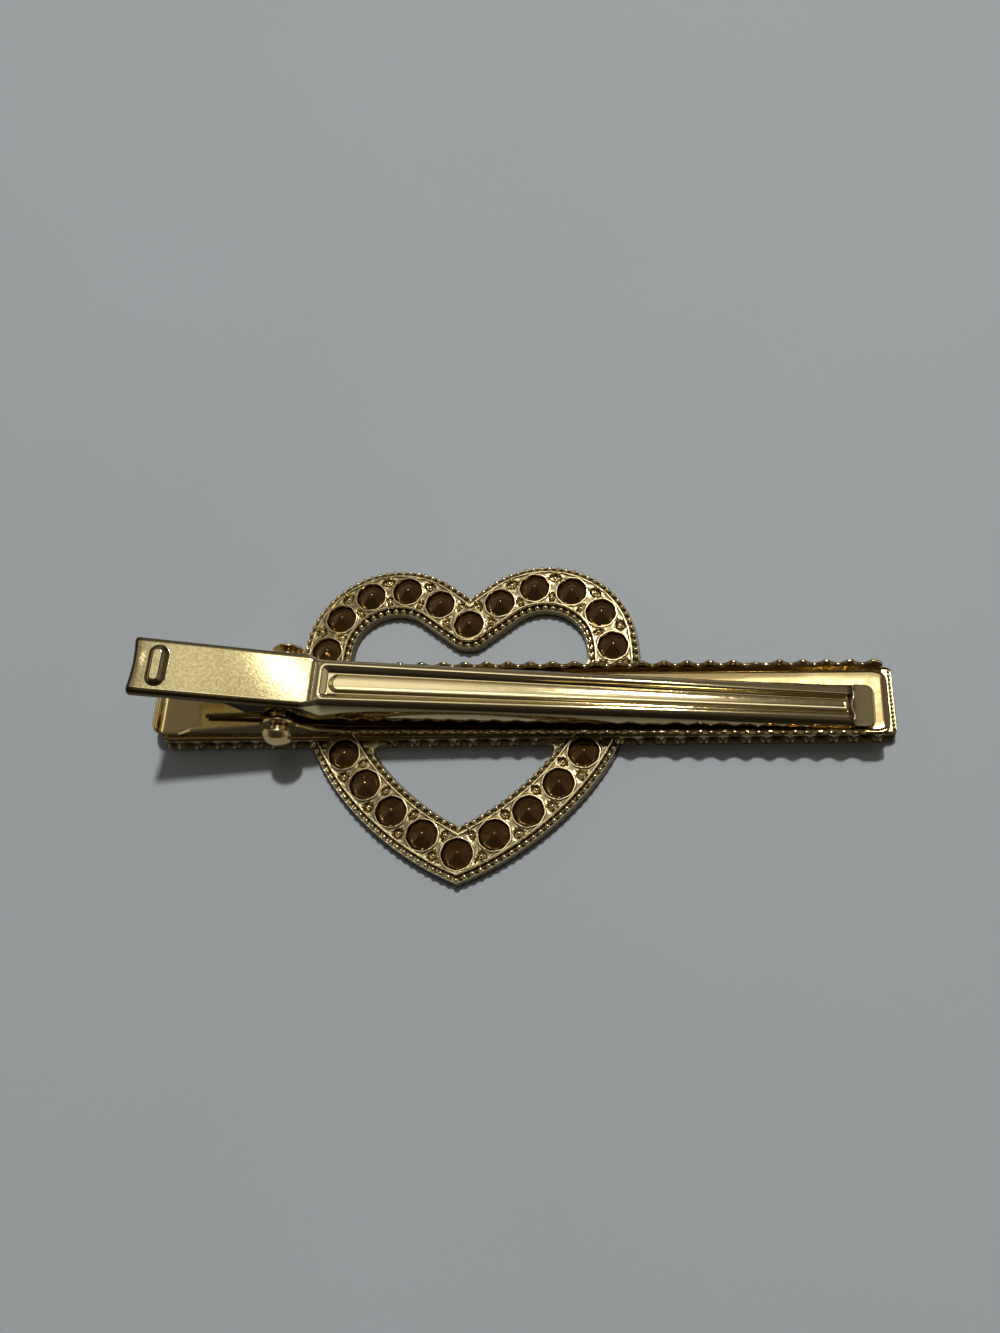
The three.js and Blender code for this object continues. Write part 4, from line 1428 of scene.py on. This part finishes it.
    def half_section(self, x: Array) -> tuple[Chain, Chain]:
        """Half the cross-section, from the plate's middle over the shoulder to the flange's lower edge.

        Args:
            x: Places along the arm.

        Returns:
            Outer and inner skin, each as places across and heights.
        """
        half, top, low, shoulder = self.half(x), self.top(x), self.flange(x), self.shoulder(x)
        crest = half - shoulder
        fall = np.interp(x, [self.tab_end, 3.2, 4.5, 40.0, self.tip], [0.62, 0.62, 2.4, 1.6, 0.42])
        fall = np.minimum(fall, 0.8 * (top - low))
        roll = 0.9 * rounded_drop(x - self.tab_end, 0.55) + 0.7 * rounded_drop(self.tip - x, 0.4)
        bore = half - np.minimum(self.sheet, 0.75 * half)
        outer, inner = [], []
        shares = np.concatenate([np.linspace(0.0, 1.0, 27), [0.38, 0.42, 0.5, 0.54, 0.97, 0.985]])
        for share in np.unique(shares):
            v = crest * share
            z = top + self.relief(x, v, crest) - roll
            outer.append((v, z))
            inner.append((np.minimum(v, bore), np.maximum(z - self.sheet, low + 0.04)))
        under = top - self.sheet - roll
        for angle in np.radians(np.linspace(0.0, 90.0, 11)[1:]):
            lower = fall * (1 - math.cos(angle))
            outer.append((crest + shoulder * math.sin(angle), top - lower - roll))
            across = crest + (bore - crest) * math.sin(angle)
            inner.append((np.minimum(across, bore), np.maximum(under - 0.6 * lower, low + 0.03)))
        side, deep = top - fall - roll, np.maximum(under - 0.6 * fall, low + 0.03)
        for share in (0.25, 0.5, 0.75, 0.95):
            outer.append((half, side + (low - side) * share))
            inner.append((bore, deep + (low - deep) * share))
        outer.append((half - 0.06, low))
        inner.append((bore + 0.06, low))
        return outer, inner

    def skin(self, x: Array, chain: Chain) -> Array:
        """Both halves of a skin as one grid of points.

        Args:
            x: Places along the arm.
            chain: The skin's half cross-section.

        Returns:
            The grid, from the far edge to the near. The tab's end is hollowed by a shallow parabola.
        """
        hollow = 0.32 * smooth(-11.6, self.tab_end, x)
        drawn = [x + hollow * np.maximum(1 - (v / self.tab_half) ** 2, 0.0) for v, _ in chain]
        columns = [np.column_stack([along, v, z]) for along, (v, z) in zip(drawn, chain)]
        far = np.stack(columns, axis=1)
        near = far * np.array([1.0, -1.0, 1.0])
        return np.concatenate([far[:, ::-1], near[:, 1:]], axis=1)

    def painted_shade_map(self, x: Array, skin: Array) -> Array:
        """Where shade is painted into the plating's colour.

        Args:
            x: Places along the arm.
            skin: The outer skin.

        Returns:
            The greatest of: the tab's rolled edges and end, the dimple's foot, the grooves, the jaw's far
            half, the panel's end and the shoulders, the near one more than the far one.
        """
        place, across = skin[..., 0], np.abs(skin[..., 1])
        shoulder = self.shoulder(x)[:, None]
        crest = self.half(x)[:, None] - shoulder
        over = (across - crest) / shoulder
        from_end = (x - self.tab_end)[:, None] + 0.0 * place
        groove = bump(across / np.maximum(crest, 0.1) - 0.66, 0.1) * smooth(5.0, 5.6, place)
        bent = bump(over - 0.55, 0.4) * smooth(4.2, 5.0, place)
        # Painted shade where the sheet lies in shade or mirrors dark surroundings.
        return np.maximum.reduce([
            0.9 * smooth(0.25, 0.7, over) * plateau(place, 2.6, 3.6), 0.9 * plateau(from_end, 0.3, 1.7),
            0.36 * plateau(from_end, 0.5, 8.0), 0.9 * bump(self.from_dimple(place, across) - 0.75, 0.24),
            0.7 * groove * plateau(place, 56.4, 57.1),
            0.25 * smooth(15.0, 45.0, place) * plateau(place, 56.0, 57.2),
            0.85 * bump(place - 56.85, 0.4), np.where(skin[..., 1] < 0, 0.8, 0.35) * bent])

    def shell(self) -> Shell:
        """Joins the two skins, satin up to the crease and bright beyond."""
        x = self.stations()
        outer, inner = (self.skin(x, chain) for chain in self.half_section(x))
        # The inner skin gets slight painted shade all over.
        painted_shade_map = [self.painted_shade_map(x, outer), np.full(inner.shape[:2], 0.12)]
        return joined_skins(outer, inner, int(np.searchsorted(x, self.crease)), painted_shade_map)

    def build(self, tab: PlatedGold, jaw: PlatedGold) -> None:
        """Makes, drills and dresses the arm.

        Args:
            tab: Finish of the thumb tab.
            jaw: Finish of the jaw.
        """
        piece = self.shell().make("upper_arm_sheet", self.place, [tab.material(), jaw.material()])
        drill(piece, self.pivot)
        dress(piece, Body.JAW, Slot.SHEET, "upper_arm")


@dataclass
class PivotRivet:
    """The rivet: a shank through both arms, with a collar and a domed head at each end."""

    place: Placement
    shank: float = 0.8
    collar: float = 0.88
    head: float = 1.68
    collar_at: float = 3.8
    head_at: float = 4.55
    rim: float = 0.12
    dome: float = 1.25
    peened: float = 0.4

    def shell(self) -> Shell:
        """Carries the rivet's outline, whose far head is hammered flatter, round the pivot's axis."""
        angle = np.linspace(0.0, math.pi / 2, 12)
        rim = self.head_at + self.rim
        dome = np.column_stack([self.head * np.cos(angle), rim + (self.dome - self.rim) * np.sin(angle)])
        step = np.array([[self.shank, 0.0], [self.shank, self.collar_at],
                         [self.collar - 0.06, self.collar_at], [self.collar, self.collar_at + 0.06],
                         [self.collar, self.head_at - 0.05], [self.head - 0.12, self.head_at],
                         [self.head - 0.03, self.head_at + 0.03]])
        near = np.concatenate([step, dome])
        flat = np.where(near[:, 1] > rim, rim + (near[:, 1] - rim) * self.peened, near[:, 1])
        far = np.column_stack([near[:, 0], flat])
        line = np.concatenate([near[::-1] * np.array([1.0, -1.0]), far[1:]])
        turn = np.linspace(0.0, 2 * math.pi, 48, endpoint=False)
        radius, along = line[:, :1], np.broadcast_to(line[:, 1:], (len(line), len(turn)))
        shell = Shell()
        grid = np.stack([radius * np.cos(turn), along, PIVOT_Z + radius * np.sin(turn)], axis=-1)
        shell.add_grid(grid, ring=True)
        return shell

    def build(self, finish: PlatedGold) -> None:
        """Makes and dresses the rivet."""
        piece = self.shell().make("domed_rivet", self.place, [finish.material()])
        dress(piece, Body.BASE, Slot.RIVET, "pivot_rivet")


@dataclass
class TorsionSpring:
    """Spring wire wound round the rivet, with one leg on the lower arm and one under the thumb tab."""

    place: Placement
    wire: float = 0.5
    coil: float = 1.45
    span: float = 3.5
    turns: int = 3
    leg: float = 9.0
    gap: float = 0.12
    pivot_height: float = 2.57
    tab_slope: float = math.atan2(TAB_RISE - CREASE_RISE, TAB_RUN)
    plate_under: float = CREASE_RISE + (TAB_RISE - CREASE_RISE) * CREASE_X / TAB_RUN - 0.5

    def path(self) -> Array:
        """Middle line of the wire: lower leg, coil, upper leg."""
        reach = self.wire / 2 + self.gap + self.coil
        rise = self.tab_slope + math.asin((self.plate_under * math.cos(self.tab_slope) - reach) / self.leg)
        fall = math.asin((self.pivot_height - reach) / self.leg)
        angle = np.linspace(fall - math.pi / 2, math.pi / 2 - rise + 2 * math.pi * self.turns, 150)
        across = self.span * (np.linspace(0.0, 1.0, 150) - 0.5)
        coil = np.column_stack([self.coil * np.cos(angle), across, PIVOT_Z + self.coil * np.sin(angle)])
        lower = coil[0] + np.array([-math.cos(fall), 0.0, -math.sin(fall)]) * self.leg
        upper = coil[-1] + np.array([-math.cos(rise), 0.0, math.sin(rise)]) * self.leg
        legs = np.linspace(lower, coil[0], 12)[:-1], np.linspace(coil[-1], upper, 12)[1:]
        return np.concatenate([legs[0], coil, legs[1]])

    def shell(self) -> Shell:
        """A round section carried along the wire's middle line, with flat cut ends."""
        path = self.path()
        along = np.gradient(path, axis=0)
        along = along / np.linalg.norm(along, axis=1, keepdims=True)
        side = np.array([0.0, 1.0, 0.0]) - along * along[:, 1:2]
        side = side / np.linalg.norm(side, axis=1, keepdims=True)
        up = np.cross(along, side)
        turn = np.linspace(0.0, 2 * math.pi, 12, endpoint=False)[None, :, None]
        grid = path[:, None] + 0.5 * self.wire * (side[:, None] * np.cos(turn) + up[:, None] * np.sin(turn))
        ends = [np.broadcast_to(path[k], grid[k].shape) for k in (0, -1)]
        shell = Shell()
        shell.add_grid(np.concatenate([ends[0][None], grid, ends[1][None]]), ring=True)
        return shell

    def winding(self) -> list[Way]:
        """First and last point, across the coil, of the stretch that winds up as the jaw opens, in metres."""
        x, y, _ = self.place.shift
        reach = 0.5 * (self.span - self.wire)
        return [(x * MM, (y + side * reach) * MM, PIVOT_Z * MM) for side in (-1.0, 1.0)]

    def build(self, finish: PlatedGold) -> None:
        """Makes the spring and dresses it; it is left fixed in place, on neither arm."""
        piece = self.shell().make("spring_wire", self.place, [finish.material()])
        dress(piece, Body.JAW, Slot.SPRING, "torsion_spring", winding=self.winding())


@dataclass(frozen=True)
class Patch:
    """A soft patch of light on the walls of the room that the gold mirrors.

    A round one is measured by the cosine of the angle from its middle. A long one, which has a way along, is
    measured by the length of two cosines: the one across it, and the one along it times its slimness.
    Brightness goes from the first level to the second between the two edges of that measure.
    """

    toward: Way
    edges: tuple[float, float]
    levels: tuple[float, float]
    along: Way | None = None
    slim: float = 1.0

    def brightness(self, tree: bpy.types.NodeTree, where: bpy.types.NodeSocket) -> bpy.types.NodeSocket:
        """Adds the patch's nodes.

        Args:
            tree: The world's node tree.
            where: The direction looked in.

        Returns:
            The patch's brightness in that direction.
        """
        ways = [Vector(self.toward).normalized()]
        if self.along:
            across = ways[0].cross(Vector(self.along)).normalized()
            ways = [across, across.cross(ways[0]) * self.slim]
        parts = [add_node(tree, "ShaderNodeVectorMath", {0: where, 1: tuple(way)},
                          operation="DOT_PRODUCT").outputs["Value"] for way in ways]
        measure = parts[0]
        if self.along:
            flat = add_node(tree, "ShaderNodeCombineXYZ", {0: parts[0], 1: parts[1]}).outputs["Vector"]
            measure = add_node(tree, "ShaderNodeVectorMath", {0: flat}, operation="LENGTH").outputs["Value"]
        steps = dict(enumerate((*self.edges, *self.levels), start=1)) | {"Value": measure}
        return add_node(tree, "ShaderNodeMapRange", steps, interpolation_type="SMOOTHSTEP").outputs["Result"]


@dataclass(frozen=True)
class Studio:
    """Pale table, two small lamps high on the far side, a dim room with light patches, and the camera.

    The patches are, in order: the far half of the room, the ceiling's glow, its brightest spot, a spot that
    the jaw's tip mirrors, a tube that streaks the thumb tab, a strip that lines the ribs, and the side walls.
    """

    table: Laminate = Laminate()
    table_reach: float = 1600.0
    table_steps: int = 9
    table_drop: float = -0.02
    room_dark: str = "#E6D8C8"
    room_light: str = "#FFFFFC"
    lamp_tone: str = "#FFFDF8"
    lamp_power: float = 11.4
    lamp_toward: Way = (0.02, 0.435, 0.9)
    lamp_distance: float = 1.2
    lamp_size: float = 0.08
    glint_power: float = 7.0
    glint_toward: Way = (0.15, 0.5, 0.853)
    patches: tuple[Patch, ...] = (
        Patch((0.0, 0.75, 0.66), (0.1, 0.95), (0.06, 0.2)),
        Patch((-0.02, 0.38, 0.924), (0.95, 0.995), (0.0, 0.6)),
        Patch((-0.12, 0.38, 0.917), (0.985, 0.999), (0.0, 0.35)),
        Patch((0.175, 0.372, 0.912), (0.9975, 0.9995), (0.0, 0.35)),
        Patch((0.088, 0.38, 0.921), (0.003, 0.016), (6.5, 0.0), (1.0, -1.0, 0.0), 0.28),
        Patch((0.1, 0.2, 0.975), (0.018, 0.045), (2.2, 0.0), (1.0, 0.0, 0.0), 0.1),
        Patch((1.0, 0.0, 0.0), (0.35, 0.95), (0.4, 0.0), (0.0, 0.0, 1.0), 1.2))
    camera_at: Way = (15.17, -43.08, 110.14)
    camera_forward: Way = (-0.1370, 0.4048, -0.9041)
    camera_right: Way = (0.9905, 0.0498, -0.1278)
    sensor_mm: float = 36.0
    focal_share: float = 1150.0 / 1333.0

    def build_table(self) -> None:
        """Lays a wide plain table just under the clip."""
        line = np.linspace(-self.table_reach, self.table_reach, self.table_steps)
        level = np.full((self.table_steps, self.table_steps), self.table_drop)
        shell = Shell()
        shell.add_grid(np.stack([*np.meshgrid(line, line, indexing="ij"), level], axis=-1))
        table = shell.make("table", Placement(0.0, (0.0, 0.0, 0.0)), [self.table.material()])
        if table.data.polygons[0].normal.z < 0:
            table.data.flip_normals()

    def add_lamp(self, name: str, toward: Way, power: float) -> bpy.types.Object:
        """A small square lamp that shines on the clip.

        Args:
            name: The lamp's name.
            toward: Direction from the clip to the lamp.
            power: Power in watts.

        Returns:
            The lamp.
        """
        way = Vector(toward).normalized()
        data = bpy.data.lights.new(name, "AREA")
        data.size = self.lamp_size
        data.energy = power
        data.color = srgb(self.lamp_tone)[:3]
        lamp = bpy.data.objects.new(name, data)
        lamp.location = way * self.lamp_distance
        lamp.rotation_euler = way.to_track_quat("Z", "Y").to_euler()
        bpy.context.scene.collection.objects.link(lamp)
        return lamp

    def build_lights(self) -> None:
        """Sets up a lamp that casts the shadows, one that only glints on metal, and the room round them."""
        self.add_lamp("shadow_lamp", self.lamp_toward, self.lamp_power).visible_glossy = False
        self.add_lamp("glint_lamp", self.glint_toward, self.glint_power).visible_diffuse = False
        world = bpy.data.worlds.new("room")
        world.use_nodes = True
        bpy.context.scene.world = world
        tree = world.node_tree
        tree.nodes.clear()
        where = add_node(tree, "ShaderNodeTexCoord").outputs["Generated"]
        level = 0.0
        for patch in self.patches:
            links = {0: patch.brightness(tree, where), 1: level}
            level = add_node(tree, "ShaderNodeMath", links, operation="ADD").outputs["Value"]
        tone = mixed(tree, level, srgb(self.room_dark), srgb(self.room_light))
        light = add_node(tree, "ShaderNodeBackground", {"Color": tone, "Strength": level})
        add_node(tree, "ShaderNodeOutputWorld", {"Surface": light.outputs["Background"]})

    def build_camera(self) -> None:
        """Sets up the photograph's camera: place, turn and angle of view fitted to the clip's outlines."""
        data = bpy.data.cameras.new("camera")
        data.sensor_width = self.sensor_mm
        data.lens = self.sensor_mm * self.focal_share
        data.clip_start = 0.005
        data.clip_end = 20.0
        camera = bpy.data.objects.new("camera", data)
        forward = Vector(self.camera_forward).normalized()
        right = Vector(self.camera_right)
        right = (right - forward * right.dot(forward)).normalized()
        turn = Matrix((right, right.cross(forward), -forward)).transposed().to_4x4()
        camera.matrix_world = Matrix.Translation(Vector(self.camera_at) * MM) @ turn
        bpy.context.scene.collection.objects.link(camera)
        bpy.context.scene.camera = camera


def main() -> None:
    """Builds the clip piece by piece, then the studio."""
    logging.basicConfig(level=logging.INFO, format="%(name)s: %(message)s")
    bpy.context.scene.view_settings.view_transform = "Standard"
    pivot = np.array(frame["joints"][0]["pos_m"]) / MM
    x, y = float(pivot[0]), float(pivot[1])
    clip = Placement(0.0, (x, y, 0.0))
    askew = Placement(-0.95, (x, y + 0.1, 0.0))
    front = Placement(0.8, (x + 18.4, y - 0.25, 0.0))

    # The third colour of each gold below is its painted shade tone, which the recess attribute mixes in.
    # A casting keeps a faint skin, so its mirror is soft and its beads glint.
    cast = PlatedGold("gold_plated_casting", "#F2E2B4", "#E2CC96", "#3E2C12", 0.22, 0.06, 0.3, 0.002)
    # Pressed and polished sheet: a sharp mirror that draws the ribs as bright lines.
    bright = PlatedGold("gold_plated_pressed_steel", "#E9D8A8", "#DECA96", "#3A2610", 0.07, 0.02, 0.5, 0.001)
    # Satin sheet: the tone sparkles from grain to grain.
    satin = PlatedGold("gold_plated_satin_steel", "#FFF1BC", "#9E8444", "#3A2610",
                       0.06, 0.02, 0.24, 0.002, 0.3)
    # Sheet as rolled: a slightly veiled mirror.
    rolled = PlatedGold("gold_plated_rolled_steel", "#E6CF98", "#DCC084", "#3A2610", 0.11, 0.03, 0.5, 0.001)
    # A rivet formed by hammering: a mirror with a soft edge to its highlight.
    domed = PlatedGold("gold_plated_rivet", "#DCC592", "#C8AC72", "#5A4020", 0.14, 0.03, 0.4, 0.003)
    # Drawn wire: dull brown steel with a broad highlight.
    drawn = PlatedGold("drawn_spring_steel", "#7C6B4E", "#6B5A3E", "#3E3322", 0.28, 0.05, 0.25, 0.004)
    # Foil behind the glass: a silvery mirror.
    foil = PlatedGold("bright_foil", "#F2F0EA", "#E2DDD2", "#8A8272", 0.1, 0.02, 0.5, 0.001)

    JewelledFront(front, HeartCurve()).build(cast, FoilLacquer(), foil, CutGlass())
    LowerArm(clip).build(rolled)
    UpperArm(askew, clip).build(satin, bright)
    PivotRivet(clip).build(domed)
    TorsionSpring(clip).build(drawn)

    studio = Studio()
    studio.build_table()
    studio.build_lights()
    studio.build_camera()


if __name__ == "__main__":
    main()
